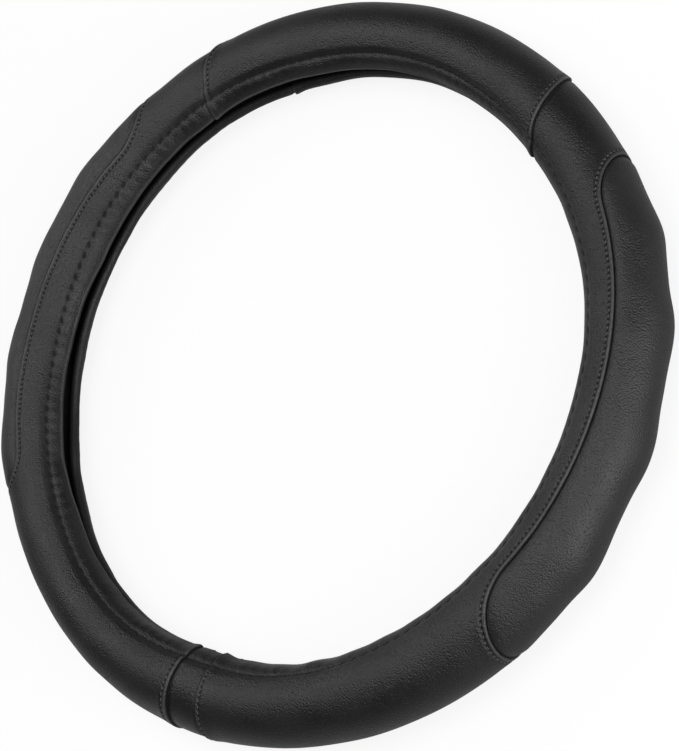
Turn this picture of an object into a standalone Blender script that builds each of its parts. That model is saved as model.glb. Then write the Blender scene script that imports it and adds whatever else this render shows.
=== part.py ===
"""A sewn cover for a car's steering wheel: leather stitched over a split rubber ring.

The cover lies flat on its back. +Z is the wheel's axis towards the driver, +Y is the top of the wheel, and
the origin is in the middle of the hole, on the surface that the cover lies on.

Each leather piece is laid out as a flat pattern, as it is cut before it is sewn. "Along" is the length round
the wheel, anticlockwise from +X. "Across" is the width of the leather: 0 on the outermost line of the wheel,
positive towards the driver, up to the lips that turn in round the edges of the rubber ring. The pattern is
then wrapped round the tube. Its outer face carries the laps, grooves and gathers of the sewing.
"""

import math
from collections import namedtuple

import bmesh
import bpy
from mathutils import Vector
from mathutils.geometry import delaunay_2d_cdt

# The ring and the leather, in metres
RING_RADIUS = 0.1753  # axis of the wheel to the middle of the tube
TUBE_RADIUS = 0.0197  # middle of the tube to the face of the panels
SLOT_WIDTH = 0.0075  # between the lips, where the rim goes in
LIP_FOLD_RADIUS = 0.0024  # the leather's turn round the edge of the rubber
PANEL_THICKNESS = 0.0016  # leather with its thin foam backing
SKIVED_THICKNESS = 0.0011  # panel round the hole for an insert, where its back is pared away
INSERT_THICKNESS = 0.0012  # leather without backing, over a grip pad
RING_WALL = 0.0023
RING_SEAT_GAP = 0.0007  # rubber to the panels
PAD_SEAT_GAP = 0.0009  # rubber to the grip pads
RING_END_GAP = 0.0006  # edge of the rubber to the leather turned round it
PIECE_GAP = 0.00035  # between pieces that touch

# The sewing, in metres
LAP_RISE = 0.0010  # edge of a panel that laps over the next panel
INSERT_LAP_RISE = 0.0007  # edge of a panel that laps over an insert
UNDERLAP_DROP = 0.0003  # edge that goes under a lap
STITCH_INSET = 0.0028  # edge of a lap to its stitches
PATCH_STITCH_INSET = 0.0014  # the same on the seam at the lower right
GROOVE_DEPTH = 0.0002
HEM_FROM_LIP = 0.0063  # stitches of the hem to the start of the lip's turn
HEM_DEPTH = 0.0005
GATHER_PITCH = 0.0063
GATHER_RISE = 0.0006
THREAD_RADIUS = 0.00025
THREAD_END_GAP = 0.0015  # end of a seam's thread to the thread of the hem
THREAD_REST_GAP = 0.00005  # threads under the back to the surface that the cover lies on

# The seams, in degrees. A seam crosses the outermost line at its angle, and leans and bows from there
Seam = namedtuple("Seam", "angle lean bow")
TOP_RIGHT_SEAM = Seam(angle=57.4, lean=-7.4, bow=-0.4)
TOP_LEFT_SEAM = Seam(angle=123.3, lean=10.4, bow=-2.3)
BOTTOM_LEFT_SEAM = Seam(angle=265.7, lean=0.0, bow=0.0)
BOTTOM_RIGHT_SEAM = Seam(angle=271.1, lean=0.0, bow=0.0)

# The grip inserts, in degrees. Ends and finger rests are angles round the wheel, edges are round the tube
Insert = namedtuple("Insert", "start end start_edge end_edge finger_rests")
RIGHT_INSERT = Insert(
    start=-36.9, end=41.0, start_edge=100.0, end_edge=74.0, finger_rests=(-20.7, -3.0, 15.0, 28.5)
)
LEFT_INSERT = Insert(
    start=139.3, end=213.0, start_edge=99.0, end_edge=83.0, finger_rests=(156.5, 171.5, 188.7, 206.0)
)
INSERT_BACK_EDGE = -60.5  # degrees round the tube
INSERT_CORNER_RADIUS = 0.0215
PAD_INSET = 0.0060  # edge of an insert to the edge of its grip pad
PAD_EDGE_THICKNESS = 0.0005
GRIP_RISE = 0.0008  # an insert's face between its finger rests
FINGER_REST_RISE = 0.0021
FINGER_REST_LENGTH = 0.0223  # along the leather, at half its height
FINGER_REST_MIDDLE = -10.0  # degrees round the tube
FINGER_REST_SPREAD = 115.0  # degrees round the tube, from its middle to nothing

# How finely the round shapes are divided
WHEEL_STEPS = 45
TUBE_STEP = 25.0  # degrees round the tube
BORE_FACETS = 10  # round the ring's inner face
CORNER_FACETS = 4
OUTLINE_PITCH = 0.015
THREAD_SIDES = 4
CLEAR_OF_EDGE = 0.0025  # nearest that a point inside a piece comes to an edge or a line of stitches
CLEAR_OF_HEM = 0.33  # the same for a row and the hem, as a share of a step round the tube
LINE_SAMPLES = 8  # places at which a line between two points is tested
SHARP_BEND = 35.0  # degrees between facets that are shaded apart
MERGE_DISTANCE = 0.0000001  # in the flat patterns
SCREW_MERGE_DISTANCE = 0.00001  # where the turned ring closes
WITHIN_OUTLINES = 1  # the triangulation's choice to mesh only inside the outlines
DISPLAY_GAMMA = 2.2

# Worked out from the sizes above
LIP_ANGLE = math.pi - math.asin((SLOT_WIDTH / 2 + LIP_FOLD_RADIUS) / (TUBE_RADIUS - LIP_FOLD_RADIUS))
LIP = TUBE_RADIUS * LIP_ANGLE
LIP_END = LIP + math.pi * LIP_FOLD_RADIUS
LIP_CREST = (LIP + LIP_END) / 2
HEM = LIP - HEM_FROM_LIP
GATHER_LINE = (LIP + HEM) / 2
SAME_ROW = HEM_FROM_LIP / 10  # rows nearer than this are one row
REST_DEPTH = TUBE_RADIUS * math.cos(math.radians(TUBE_STEP / 2))
RING_OUTER = TUBE_RADIUS - PANEL_THICKNESS - RING_SEAT_GAP
RING_INNER = RING_OUTER - RING_WALL
RING_END_ANGLE = LIP_ANGLE - RING_END_GAP / RING_INNER
PAD_SEAT = RING_OUTER + PAD_SEAT_GAP - TUBE_RADIUS
PAD_EDGE = PAD_SEAT + PAD_EDGE_THICKNESS
PAD_COVER = INSERT_THICKNESS + PIECE_GAP
THREAD_LIFT = PIECE_GAP + THREAD_RADIUS

# A point of a pattern, with the height of the outer face there and of the inner face, if it has the point
Point = namedtuple("Point", "along across outer inner")


def along_at(degrees):
    """Place along the leather at an angle round the wheel."""
    return RING_RADIUS * math.radians(degrees)


def across_at(degrees):
    """Place across the leather at an angle round the tube."""
    return TUBE_RADIUS * math.radians(degrees)


def tube_rows():
    """Places across the leather where its facets bend, set so that the lowest facet lies flat."""
    lowest = -90.0 - TUBE_STEP / 2
    limit = math.degrees(HEM / TUBE_RADIUS) - TUBE_STEP * CLEAR_OF_HEM
    count = int(360.0 / TUBE_STEP)
    angles = [lowest + TUBE_STEP * step for step in range(-count, count)]
    return [across_at(angle) for angle in angles if abs(angle) < limit]


def on_section(across, height):
    """Place in the tube's section, as (outward, up), of a point across the leather and above its face."""
    side = math.copysign(1.0, across)
    length = abs(across)
    if length <= LIP:
        angle = length / TUBE_RADIUS
        reach = TUBE_RADIUS + height
        return reach * math.cos(angle), side * reach * math.sin(angle)
    turn = (length - LIP) / LIP_FOLD_RADIUS
    reach = LIP_FOLD_RADIUS + height
    radial = TUBE_RADIUS - LIP_FOLD_RADIUS + reach * math.cos(turn)
    onward = reach * math.sin(turn)
    outward = radial * math.cos(LIP_ANGLE) - onward * math.sin(LIP_ANGLE)
    up = radial * math.sin(LIP_ANGLE) + onward * math.cos(LIP_ANGLE)
    return outward, side * up


def wrapped(along, across, height):
    """Place in space of a point of the pattern. Nothing reaches below the flat of the back."""
    outward, up = on_section(across, height)
    turn = along / RING_RADIUS
    reach = RING_RADIUS + outward
    return Vector((reach * math.cos(turn), reach * math.sin(turn), max(up, -REST_DEPTH) + REST_DEPTH))


def is_flat_row(across):
    """Whether a row is one of the two edges of the flat of the back."""
    from_middle = abs(across - across_at(-90.0))
    return abs(from_middle - across_at(TUBE_STEP) / 2) < SAME_ROW


def seam_along(seam, across):
    """Place along the leather of a seam, at a place across it."""
    share = max(-LIP, min(LIP, across)) / (math.pi * TUBE_RADIUS)
    return along_at(seam.angle + seam.lean * share + seam.bow * share * share)


def distance_to_loop(place, loop):
    """Shortest distance from a place to a closed loop, both on the flat pattern."""
    nearest = math.inf
    for start, end in zip(loop, loop[1:] + loop[:1]):
        step = end - start
        share = max(0.0, min(1.0, (place - start).dot(step) / step.length_squared))
        nearest = min(nearest, (place - start - step * share).length)
    return nearest


def is_inside(place, loop):
    """Whether a place lies inside a closed loop."""
    inside = False
    for start, end in zip(loop, loop[1:] + loop[:1]):
        if (start.y > place.y) != (end.y > place.y):
            crossing = start.x + (place.y - start.y) * (end.x - start.x) / (end.y - start.y)
            inside ^= place.x < crossing
    return inside


def spread(start, end, pitch):
    """Evenly spread values from a start up to an end, which is left out, no further apart than a pitch."""
    count = max(1, math.ceil((end - start) / pitch))
    return [start + (end - start) * step / count for step in range(count)]


def rounded_loop(corners, radius, offset):
    """Closed loop round four corners, anticlockwise, with each corner rounded, moved out by an offset."""
    arcs = []
    for before, corner, after in zip(corners[-1:] + corners[:-1], corners, corners[1:] + corners[:1]):
        arriving = (corner - before).normalized()
        leaving = (after - corner).normalized()
        arriving_side = Vector((arriving.y, -arriving.x))
        leaving_side = Vector((leaving.y, -leaving.x))
        centre = corner - (arriving_side + leaving_side) * radius / (1 + arriving_side.dot(leaving_side))
        first = math.atan2(arriving_side.y, arriving_side.x)
        sweep = math.acos(arriving_side.dot(leaving_side))
        angles = [first + sweep * step / CORNER_FACETS for step in range(CORNER_FACETS + 1)]
        arcs.append([centre + Vector((math.cos(a), math.sin(a))) * (radius + offset) for a in angles])
    loop = []
    for arc, following in zip(arcs, arcs[1:] + arcs[:1]):
        run = following[0] - arc[-1]
        shares = spread(0.0, 1.0, OUTLINE_PITCH / max(run.length, OUTLINE_PITCH))
        loop.extend(arc[:-1])
        loop.extend(arc[-1] + run * share for share in shares)
    return loop


def fitting_radius(corners, radius):
    """The radius, or the largest one that leaves a straight run on each side between its two corners."""
    sides = [there - here for here, there in zip(corners, corners[1:] + corners[:1])]
    turns = [before.angle(after) for before, after in zip(sides[-1:] + sides[:-1], sides)]
    cuts = [math.tan(turn / 2) for turn in turns]
    for side, cut, next_cut in zip(sides, cuts, cuts[1:] + cuts[:1]):
        radius = min(radius, (side.length - CLEAR_OF_EDGE) / (cut + next_cut))
    return radius


def insert_loop(insert, offset):
    """Outline of an insert on the flat pattern, moved out by an offset."""
    back = across_at(INSERT_BACK_EDGE)
    corners = [
        Vector((along_at(insert.start), back)),
        Vector((along_at(insert.end), back)),
        Vector((along_at(insert.end), across_at(insert.end_edge))),
        Vector((along_at(insert.start), across_at(insert.start_edge))),
    ]
    return rounded_loop(corners, fitting_radius(corners, INSERT_CORNER_RADIUS), offset)


class Pattern:
    """One flat piece of leather or foam: its points, the lines that its facets keep, and its outlines."""

    def __init__(self):
        self.points = []
        self.lines = []
        self.loops = []

    def add(self, points, only_outer=False):
        """Add points joined in a line, and return their indexes."""
        first = len(self.points)
        self.points.extend(points)
        indexes = list(range(first, len(self.points)))
        self.join(indexes, only_outer)
        return indexes

    def join(self, indexes, only_outer=False):
        """Keep a line through points that are already there."""
        self.lines.append((indexes, only_outer))

    def outline(self, indexes):
        """Close the points into an outline, anticlockwise round the leather and clockwise round a hole."""
        self.loops.append(indexes)
        self.join(indexes + indexes[:1])

    def places(self, indexes):
        """Places of points on the flat pattern."""
        return [Vector((self.points[index].along, self.points[index].across)) for index in indexes]

    def triangles(self, inner):
        """Triangles of the outer or the inner face, as indexes of points, anticlockwise."""
        used = [index for index, point in enumerate(self.points) if not inner or point.inner is not None]
        order = {index: number for number, index in enumerate(used)}
        edges = []
        for indexes, only_outer in self.lines:
            if inner and only_outer:
                continue
            kept = [order[index] for index in indexes if index in order]
            edges.extend(zip(kept, kept[1:]))
        turned_left = self.loops[:1] + [hole[::-1] for hole in self.loops[1:]]
        outlines = [[order[index] for index in loop] for loop in turned_left]
        found = delaunay_2d_cdt(self.places(used), edges, outlines, WITHIN_OUTLINES, MERGE_DISTANCE)
        faces, origins, covering = found[2], found[3], found[5]
        leather = [face for face, outline in zip(faces, covering) if outline == [0]]
        return [[used[origins[corner][0]] for corner in face] for face in leather]


def solid(name, pattern, material):
    """Closed solid of a pattern wrapped round the tube, with its rims between the outer and inner faces."""
    mesh = bmesh.new()
    outer = {}
    inner = {}
    for index, point in enumerate(pattern.points):
        outer[index] = mesh.verts.new(wrapped(point.along, point.across, point.outer))
        if point.inner is not None:
            inner[index] = mesh.verts.new(wrapped(point.along, point.across, point.inner))
    for triangle in pattern.triangles(inner=False):
        mesh.faces.new([outer[index] for index in triangle])
    for triangle in pattern.triangles(inner=True):
        mesh.faces.new([inner[index] for index in reversed(triangle)])
    for loop in pattern.loops:
        for here, there in zip(loop, loop[1:] + loop[:1]):
            mesh.faces.new([outer[here], inner[here], inner[there], outer[there]])
    return mesh_object(name, mesh, material)


def mesh_object(name, mesh, material):
    """Object with smooth shading and one material, from a finished bmesh."""
    data = bpy.data.meshes.new(name)
    mesh.to_mesh(data)
    mesh.free()
    data.shade_smooth()
    data.set_sharp_from_angle(angle=math.radians(SHARP_BEND))
    data.materials.append(material)
    made = bpy.data.objects.new(name, data)
    bpy.data.collections["steering_wheel_cover"].objects.link(made)
    return made


def row_columns(across, first, last):
    """Places along a row of a panel: the gathers on its gather lines, and the wheel's steps elsewhere."""
    pitch = 2 * math.pi * RING_RADIUS / (2 * gather_count() if is_gather_row(across) else WHEEL_STEPS)
    clear = min(CLEAR_OF_EDGE, pitch / 2)
    steps = range(math.ceil((first + clear) / pitch), math.floor((last - clear) / pitch) + 1)
    return [(step, step * pitch) for step in steps]


def gather_count():
    """Number of gathers round the whole hem."""
    hem_circle = 2 * math.pi * (RING_RADIUS + on_section(HEM, 0.0)[0])
    return round(hem_circle / GATHER_PITCH)


def is_gather_row(across):
    """Whether a row is one of the two lines on which the leather gathers."""
    return abs(abs(across) - GATHER_LINE) < SAME_ROW


def lap_height(across, is_over):
    """Height of a panel's edge at a seam: raised where it laps over, and level from the hem to the lip."""
    if abs(across) > HEM - SAME_ROW:
        return face_height(across)
    return LAP_RISE if is_over else -UNDERLAP_DROP


def face_height(across):
    """Height of a panel's face on one of its rows, away from its edges."""
    on_hem = abs(abs(across) - HEM) < SAME_ROW
    return -HEM_DEPTH if on_hem else 0.0


def stitch_height(across):
    """Height of the groove that a seam's thread lies in. The flat of the back has a deeper one."""
    if is_flat_row(across):
        return -(THREAD_LIFT + THREAD_RADIUS + THREAD_REST_GAP)
    return face_height(across) - GROOVE_DEPTH


def all_rows():
    """Places across a panel of all its rows, from the back lip's end to the front lip's end."""
    turned = [HEM, GATHER_LINE, LIP, LIP_CREST, LIP_END]
    return [-across for across in reversed(turned)] + tube_rows() + turned


def add_row(pattern, across, ends, insets, hole):
    """Add one row of a panel and return its points' indexes, with those of its two lines of stitches."""
    first, last = ends
    stitches = [None, None]
    row = [Point(first, across, lap_height(across, insets[0] is not None), -PANEL_THICKNESS)]
    inside = abs(across) < HEM + SAME_ROW
    low, high = first, last
    if inside and insets[0] is not None:
        low = first + insets[0]
        stitches[0] = len(row)
        row.append(Point(low, across, stitch_height(across), None))
    if inside and insets[1] is not None:
        high = last - insets[1]
    for step, along in row_columns(across, low, high):
        place = Vector((along, across))
        if hole and (is_inside(place, hole) or distance_to_loop(place, hole) < CLEAR_OF_EDGE):
            continue
        if is_gather_row(across):
            row.append(Point(along, across, GATHER_RISE * (step % 2), None))
        else:
            row.append(Point(along, across, face_height(across), -PANEL_THICKNESS))
    if high != last:
        stitches[1] = len(row)
        row.append(Point(high, across, stitch_height(across), None))
    row.append(Point(last, across, lap_height(across, insets[1] is not None), -PANEL_THICKNESS))
    return add_row_runs(pattern, row, hole, is_gather_row(across)), stitches


def add_row_runs(pattern, row, hole, only_outer):
    """Add a row's points, joined in a line except where the line would cross the hole for an insert."""
    first = len(pattern.points)
    pattern.points.extend(row)
    run = [first]
    for index in range(first + 1, first + len(row)):
        before, here = pattern.places([index - 1, index])
        if hole and not is_clear(before, here, hole):
            pattern.join(run, only_outer)
            run = []
        run.append(index)
    pattern.join(run, only_outer)
    return list(range(first, first + len(row)))


def is_clear(start, end, hole):
    """Whether a line stays outside a hole and clear of its edge."""
    places = [start.lerp(end, step / LINE_SAMPLES) for step in range(LINE_SAMPLES + 1)]
    if any(is_inside(place, hole) for place in places):
        return False
    return all(distance_to_loop(place, hole) > CLEAR_OF_EDGE / 2 for place in places)


def panel_pattern(seams, insets, insert=None):
    """Pattern of a panel between two seams, and the lines of stitches along its lapped edges.

    An inset is the distance from the panel's edge to its stitches, or None where the panel goes under.
    """
    pattern = Pattern()
    hole = insert_loop(insert, PIECE_GAP / 2 + STITCH_INSET) if insert else None
    rows = []
    stitches = [[], []]
    for across in all_rows():
        ends = (seam_along(seams[0], across) + PIECE_GAP / 2, seam_along(seams[1], across) - PIECE_GAP / 2)
        row, marks = add_row(pattern, across, ends, insets, hole)
        rows.append(row)
        for line, mark in zip(stitches, marks):
            if mark is not None:
                line.append(row[mark])
    for line in stitches:
        if line:
            pattern.join(line, only_outer=True)
    sides = [row[-1] for row in rows[1:-1]], [row[0] for row in rows[1:-1]]
    pattern.outline(rows[0] + sides[0] + rows[-1][::-1] + sides[1][::-1])
    if insert:
        stitches.append(add_hole(pattern, insert))
    return pattern, stitches


def add_hole(pattern, insert):
    """Cut the hole for an insert, with a raised edge, and return its line of stitches."""
    edge = insert_loop(insert, PIECE_GAP / 2)
    sewn = insert_loop(insert, PIECE_GAP / 2 + STITCH_INSET)
    hole = [Point(place.x, place.y, INSERT_LAP_RISE, -SKIVED_THICKNESS) for place in edge]
    line = [Point(place.x, place.y, -GROOVE_DEPTH, -SKIVED_THICKNESS) for place in sewn]
    first = len(pattern.points)
    pattern.points.extend(reversed(hole))
    pattern.outline(list(range(first, first + len(hole))))
    indexes = pattern.add(line)
    pattern.join([indexes[-1], indexes[0]])
    return indexes


def grip_height(insert, along, across):
    """Height of an insert's face, which its grip pad raises, most of all at the finger rests."""
    off_middle = (across - across_at(FINGER_REST_MIDDLE)) / across_at(FINGER_REST_SPREAD)
    swell = math.cos(min(abs(off_middle), 1.0) * math.pi / 2) ** 2
    height = GRIP_RISE
    for rest in insert.finger_rests:
        off_rest = (along - along_at(rest)) / (FINGER_REST_LENGTH / 2)
        height += FINGER_REST_RISE * swell * 0.5 ** (off_rest**2)
    return height


def grip_columns(insert):
    """Places along an insert, with one on the top and one on each flank of every finger rest."""
    fixed = [along_at(insert.start)]
    for rest in insert.finger_rests:
        fixed.extend(along_at(rest) + FINGER_REST_LENGTH / 2 * flank for flank in (-1, 0, 1))
    fixed.append(along_at(insert.end))
    columns = []
    for start, end in zip(fixed, fixed[1:]):
        columns.extend(spread(start, end, OUTLINE_PITCH))
    return columns


def grip_places(insert):
    """Places and heights of an insert's face: a loop over the edge of its pad, and rows inside it."""
    loop = insert_loop(insert, -PAD_INSET)
    rows = []
    for across in tube_rows():
        places = [Vector((along, across)) for along in grip_columns(insert)]
        inside = [place for place in places if is_inside(place, loop)]
        clear = [place.x for place in inside if distance_to_loop(place, loop) > CLEAR_OF_EDGE]
        if clear:
            rows.append([(along, across, grip_height(insert, along, across)) for along in clear])
    return [(place.x, place.y, PAD_EDGE + PAD_COVER) for place in loop], rows


def leather_insert(name, insert, material):
    """Insert of thin leather, swelling over its grip pad, with its edge under the panel's lap."""
    pattern = Pattern()
    edge = insert_loop(insert, -PIECE_GAP / 2)
    inner = -UNDERLAP_DROP - INSERT_THICKNESS
    pattern.points.extend(Point(place.x, place.y, -UNDERLAP_DROP, inner) for place in edge)
    pattern.outline(list(range(len(edge))))
    loop, rows = grip_places(insert)
    for places in [loop] + rows:
        line = pattern.add([Point(x, y, height, height - INSERT_THICKNESS) for x, y, height in places])
        if places is loop:
            pattern.join([line[-1], line[0]])
    return solid(name, pattern, material)


def grip_pad(name, insert, material):
    """Foam pad between an insert and the rubber ring, which gives the finger rests."""
    pattern = Pattern()
    loop, rows = grip_places(insert)
    pattern.points.extend(Point(x, y, height - PAD_COVER, PAD_SEAT) for x, y, height in loop)
    pattern.outline(list(range(len(loop))))
    for places in rows:
        pattern.add([Point(x, y, height - PAD_COVER, PAD_SEAT) for x, y, height in places])
    return solid(name, pattern, material)


def rubber_ring(name, material):
    """Split ring of rubber: a section open towards the wheel's axis, turned about that axis."""
    hem_angle = HEM / TUBE_RADIUS
    angles = [across / TUBE_RADIUS for across in tube_rows()]
    outer = [-RING_END_ANGLE, -hem_angle] + angles + [hem_angle, RING_END_ANGLE]
    inner = [RING_END_ANGLE * (2 * facet / BORE_FACETS - 1) for facet in range(BORE_FACETS + 1)]
    section = [(RING_OUTER, angle) for angle in reversed(outer)] + [(RING_INNER, angle) for angle in inner]
    mesh = bmesh.new()
    corners = [
        mesh.verts.new((RING_RADIUS + reach * math.cos(angle), 0.0, REST_DEPTH + reach * math.sin(angle)))
        for reach, angle in section
    ]
    for here, there in zip(corners, corners[1:] + corners[:1]):
        mesh.edges.new((here, there))
    ring = mesh_object(name, mesh, material)
    screw = ring.modifiers.new("turned", "SCREW")
    screw.steps = WHEEL_STEPS
    screw.render_steps = WHEEL_STEPS
    screw.use_merge_vertices = True
    screw.merge_threshold = SCREW_MERGE_DISTANCE
    return ring


def thread(name, places, is_closed, material):
    """Thread that runs through places in space."""
    curve = bpy.data.curves.new(name, "CURVE")
    curve.dimensions = "3D"
    curve.bevel_depth = THREAD_RADIUS
    curve.bevel_resolution = THREAD_SIDES // 2 - 2
    curve.use_fill_caps = not is_closed
    curve.materials.append(material)
    spline = curve.splines.new("POLY")
    spline.points.add(len(places) - 1)
    for point, place in zip(spline.points, places):
        point.co = (*place, 1.0)
    spline.use_cyclic_u = is_closed
    made = bpy.data.objects.new(name, curve)
    bpy.data.collections["steering_wheel_cover"].objects.link(made)
    return made


def over_stitches(pattern, line):
    """Places in space of a thread that lies along a line of stitches."""
    points = [pattern.points[index] for index in line]
    return [wrapped(point.along, point.across, point.outer + THREAD_LIFT) for point in points]


def seam_thread(name, pattern, line, material):
    """Thread of a seam from hem to hem, with its ends short of the threads of the hems."""
    places = over_stitches(pattern, line)
    for end, beside in ((0, 1), (-1, -2)):
        places[end] = places[end] + (places[beside] - places[end]).normalized() * THREAD_END_GAP
    return thread(name, places, False, material)


def hem_thread(name, side, material):
    """Thread of the hem beside one lip, all the way round the wheel. Side is 1 in front and -1 behind."""
    outward, up = on_section(side * HEM, -HEM_DEPTH + THREAD_LIFT)
    bpy.ops.mesh.primitive_torus_add(
        major_segments=WHEEL_STEPS, minor_segments=THREAD_SIDES, major_radius=RING_RADIUS + outward,
        minor_radius=THREAD_RADIUS, location=(0.0, 0.0, REST_DEPTH + up),
    )
    made = bpy.context.object
    made.name = name
    made.data.name = name
    made.data.materials.append(material)
    for collection in list(made.users_collection):
        collection.objects.unlink(made)
    bpy.data.collections["steering_wheel_cover"].objects.link(made)
    return made


def finish(name, colour, roughness):
    """Material with a plain colour, given as it is seen, and a roughness."""
    material = bpy.data.materials.new(name)
    material.use_nodes = True
    shader = material.node_tree.nodes["Principled BSDF"]
    shader.inputs["Base Color"].default_value = (*(channel**DISPLAY_GAMMA for channel in colour), 1.0)
    shader.inputs["Roughness"].default_value = roughness
    shader.inputs["Metallic"].default_value = 0.0
    return material


def turned_back(seam):
    """The same seam, counted one turn earlier round the wheel."""
    return seam._replace(angle=seam.angle - 360.0)


def add_panels(leather, thread_material):
    """The four panels of smooth leather and the threads of their seams."""
    top, top_lines = panel_pattern((TOP_RIGHT_SEAM, TOP_LEFT_SEAM), (STITCH_INSET, STITCH_INSET))
    left, left_lines = panel_pattern((TOP_LEFT_SEAM, BOTTOM_LEFT_SEAM), (None, STITCH_INSET), LEFT_INSERT)
    right_seams = turned_back(BOTTOM_RIGHT_SEAM), TOP_RIGHT_SEAM
    right, right_lines = panel_pattern(right_seams, (PATCH_STITCH_INSET, None), RIGHT_INSERT)
    patch, _ = panel_pattern((BOTTOM_LEFT_SEAM, BOTTOM_RIGHT_SEAM), (None, None))
    solid("top_panel", top, leather)
    solid("left_panel", left, leather)
    solid("right_panel", right, leather)
    solid("bottom_patch", patch, leather)
    seam_thread("top_right_thread", top, top_lines[0], thread_material)
    seam_thread("top_left_thread", top, top_lines[1], thread_material)
    seam_thread("bottom_left_thread", left, left_lines[1], thread_material)
    seam_thread("bottom_right_thread", right, right_lines[0], thread_material)
    thread("left_insert_thread", over_stitches(left, left_lines[2]), True, thread_material)
    thread("right_insert_thread", over_stitches(right, right_lines[2]), True, thread_material)


def main():
    """Clear the scene and model the cover."""
    for old in list(bpy.data.objects):
        bpy.data.objects.remove(old)
    collection = bpy.data.collections.new("steering_wheel_cover")
    bpy.context.scene.collection.children.link(collection)

    leather = finish("smooth_leather", (0.17, 0.17, 0.17), 0.5)
    grip_leather = finish("grip_leather", (0.19, 0.19, 0.19), 0.6)
    rubber = finish("ring_rubber", (0.08, 0.08, 0.08), 0.85)
    foam = finish("pad_foam", (0.12, 0.12, 0.12), 0.95)
    polyester = finish("thread_polyester", (0.1, 0.1, 0.1), 0.7)

    rubber_ring("inner_ring", rubber)
    grip_pad("left_grip_pad", LEFT_INSERT, foam)
    grip_pad("right_grip_pad", RIGHT_INSERT, foam)
    leather_insert("left_insert", LEFT_INSERT, grip_leather)
    leather_insert("right_insert", RIGHT_INSERT, grip_leather)
    add_panels(leather, polyester)
    hem_thread("front_hem_thread", 1, polyester)
    hem_thread("back_hem_thread", -1, polyester)


main()
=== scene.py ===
"""Looks of a sewn leather cover for a steering wheel: leather, grip inserts, stitches and the studio.

Lengths are in millimetres, and become metres where a mesh is made. Each leather piece is laid out flat, as it
is cut before it is sewn. "Along" is the length round the wheel, anticlockwise from +X. "Across" is the width
of the leather: 0 on the outermost line of the wheel, positive towards the driver, up to the lips that turn in
round the edges of the rubber ring. The flat leather is then wrapped round the tube.
"""

import logging
import math
from dataclasses import dataclass, field
from enum import Enum
from typing import ClassVar

import bpy
import numpy as np
from mathutils import Matrix, Vector
from mathutils.geometry import delaunay_2d_cdt


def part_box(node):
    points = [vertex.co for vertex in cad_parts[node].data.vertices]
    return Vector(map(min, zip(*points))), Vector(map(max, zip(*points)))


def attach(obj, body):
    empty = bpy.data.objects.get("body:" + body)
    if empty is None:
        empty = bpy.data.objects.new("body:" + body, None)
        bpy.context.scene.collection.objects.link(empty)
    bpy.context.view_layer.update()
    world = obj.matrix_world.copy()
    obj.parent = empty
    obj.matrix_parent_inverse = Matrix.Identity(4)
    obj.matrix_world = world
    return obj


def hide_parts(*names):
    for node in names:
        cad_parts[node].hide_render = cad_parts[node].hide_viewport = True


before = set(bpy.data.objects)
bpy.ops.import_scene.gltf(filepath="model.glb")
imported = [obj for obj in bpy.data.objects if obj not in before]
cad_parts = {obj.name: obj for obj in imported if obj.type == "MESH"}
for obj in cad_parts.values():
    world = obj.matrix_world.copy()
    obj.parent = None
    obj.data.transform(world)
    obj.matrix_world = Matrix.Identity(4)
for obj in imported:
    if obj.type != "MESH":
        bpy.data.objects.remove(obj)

log = logging.getLogger("steering_wheel_cover")

MM = 0.001  # millimetres to metres
BODY = "root"
WITHIN_OUTLINES = 1  # the triangulation's choice to mesh only inside the outlines
MERGE_DISTANCE = 0.0001  # mm, in the flat patterns
CORNER_PLACES = 33  # on the path round each corner of an insert
PLACES_AT_ONCE = 2000  # places whose distances to all needle holes are worked out together
FAR = 9.0  # mm, stands for any distance too great to count
SHARP_BEND = math.radians(55.0)  # facets that meet at more than this are shaded apart
PAINTED_SHADE = "crease"  # attribute: how much painted shade a point gets in a seam, hem, needle hole, under a lap or inside the slot, from 0 to 1
PAINTED_HIGHLIGHT = "rim"  # attribute: how much painted highlight a point gets near the crest of a turned edge, from 0 to 1

Array = np.ndarray
Place = tuple[float, float]


class Edge(Enum):
    """How the edge of a leather piece meets the next piece at a seam."""

    LAPS_OVER = "laps over"
    GOES_UNDER = "goes under"


class HemSide(Enum):
    """Which lip a hem runs beside."""

    FRONT = 1
    BACK = -1


class Slot(Enum):
    """Material slots of the record."""

    SMOOTH_LEATHER = "smooth_leather"
    GRIP_LEATHER = "grip_leather"
    RUBBER = "ring_rubber"
    FOAM = "pad_foam"
    THREAD = "thread_polyester"


def smooth_step(value: Array) -> Array:
    """Ease from 0 to 1.

    Args:
        value: Position between the start, 0, and the end, 1. It is limited to that range.

    Returns:
        The eased values.
    """
    share = np.clip(value, 0.0, 1.0)
    return share * share * (3.0 - 2.0 * share)


def bell(distance: Array, width: float) -> Array:
    """Smooth bump that is 1 at no distance and fades beyond a width.

    Args:
        distance: Distances from the middle of the bump.
        width: Distance at which the bump has fallen to 0.37.

    Returns:
        The bump's heights.
    """
    return np.exp(-((distance / width) ** 2))


@dataclass(frozen=True)
class Unevenness:
    """Lengths of the waves that an unevenness is made of, and how many there are."""

    shortest: float
    longest: float
    count: int


LEATHER_SAGS = Unevenness(24.0, 70.0, 9)
INSERT_CRUMPLES = Unevenness(14.0, 46.0, 9)
UNEVEN_GATHERS = Unevenness(17.0, 60.0, 4)
FINE_WRINKLES = Unevenness(1.7, 4.6, 6)


def ripples(place: Array, kind: Unevenness, seed: int) -> Array:
    """Uneven ripples along a line, made of a few waves of different lengths.

    Args:
        place: Places along the line.
        kind: Lengths and number of the waves.
        seed: Seed of the waves' lengths and phases.

    Returns:
        Heights between about -1 and 1.
    """
    draw = np.random.default_rng(seed)
    height = np.zeros_like(place)
    for _ in range(kind.count):
        length = draw.uniform(kind.shortest, kind.longest)
        phase = draw.uniform(0.0, 2.0 * math.pi)
        height += np.sin(2.0 * math.pi * place / length + phase)
    return height / math.sqrt(kind.count)


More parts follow.
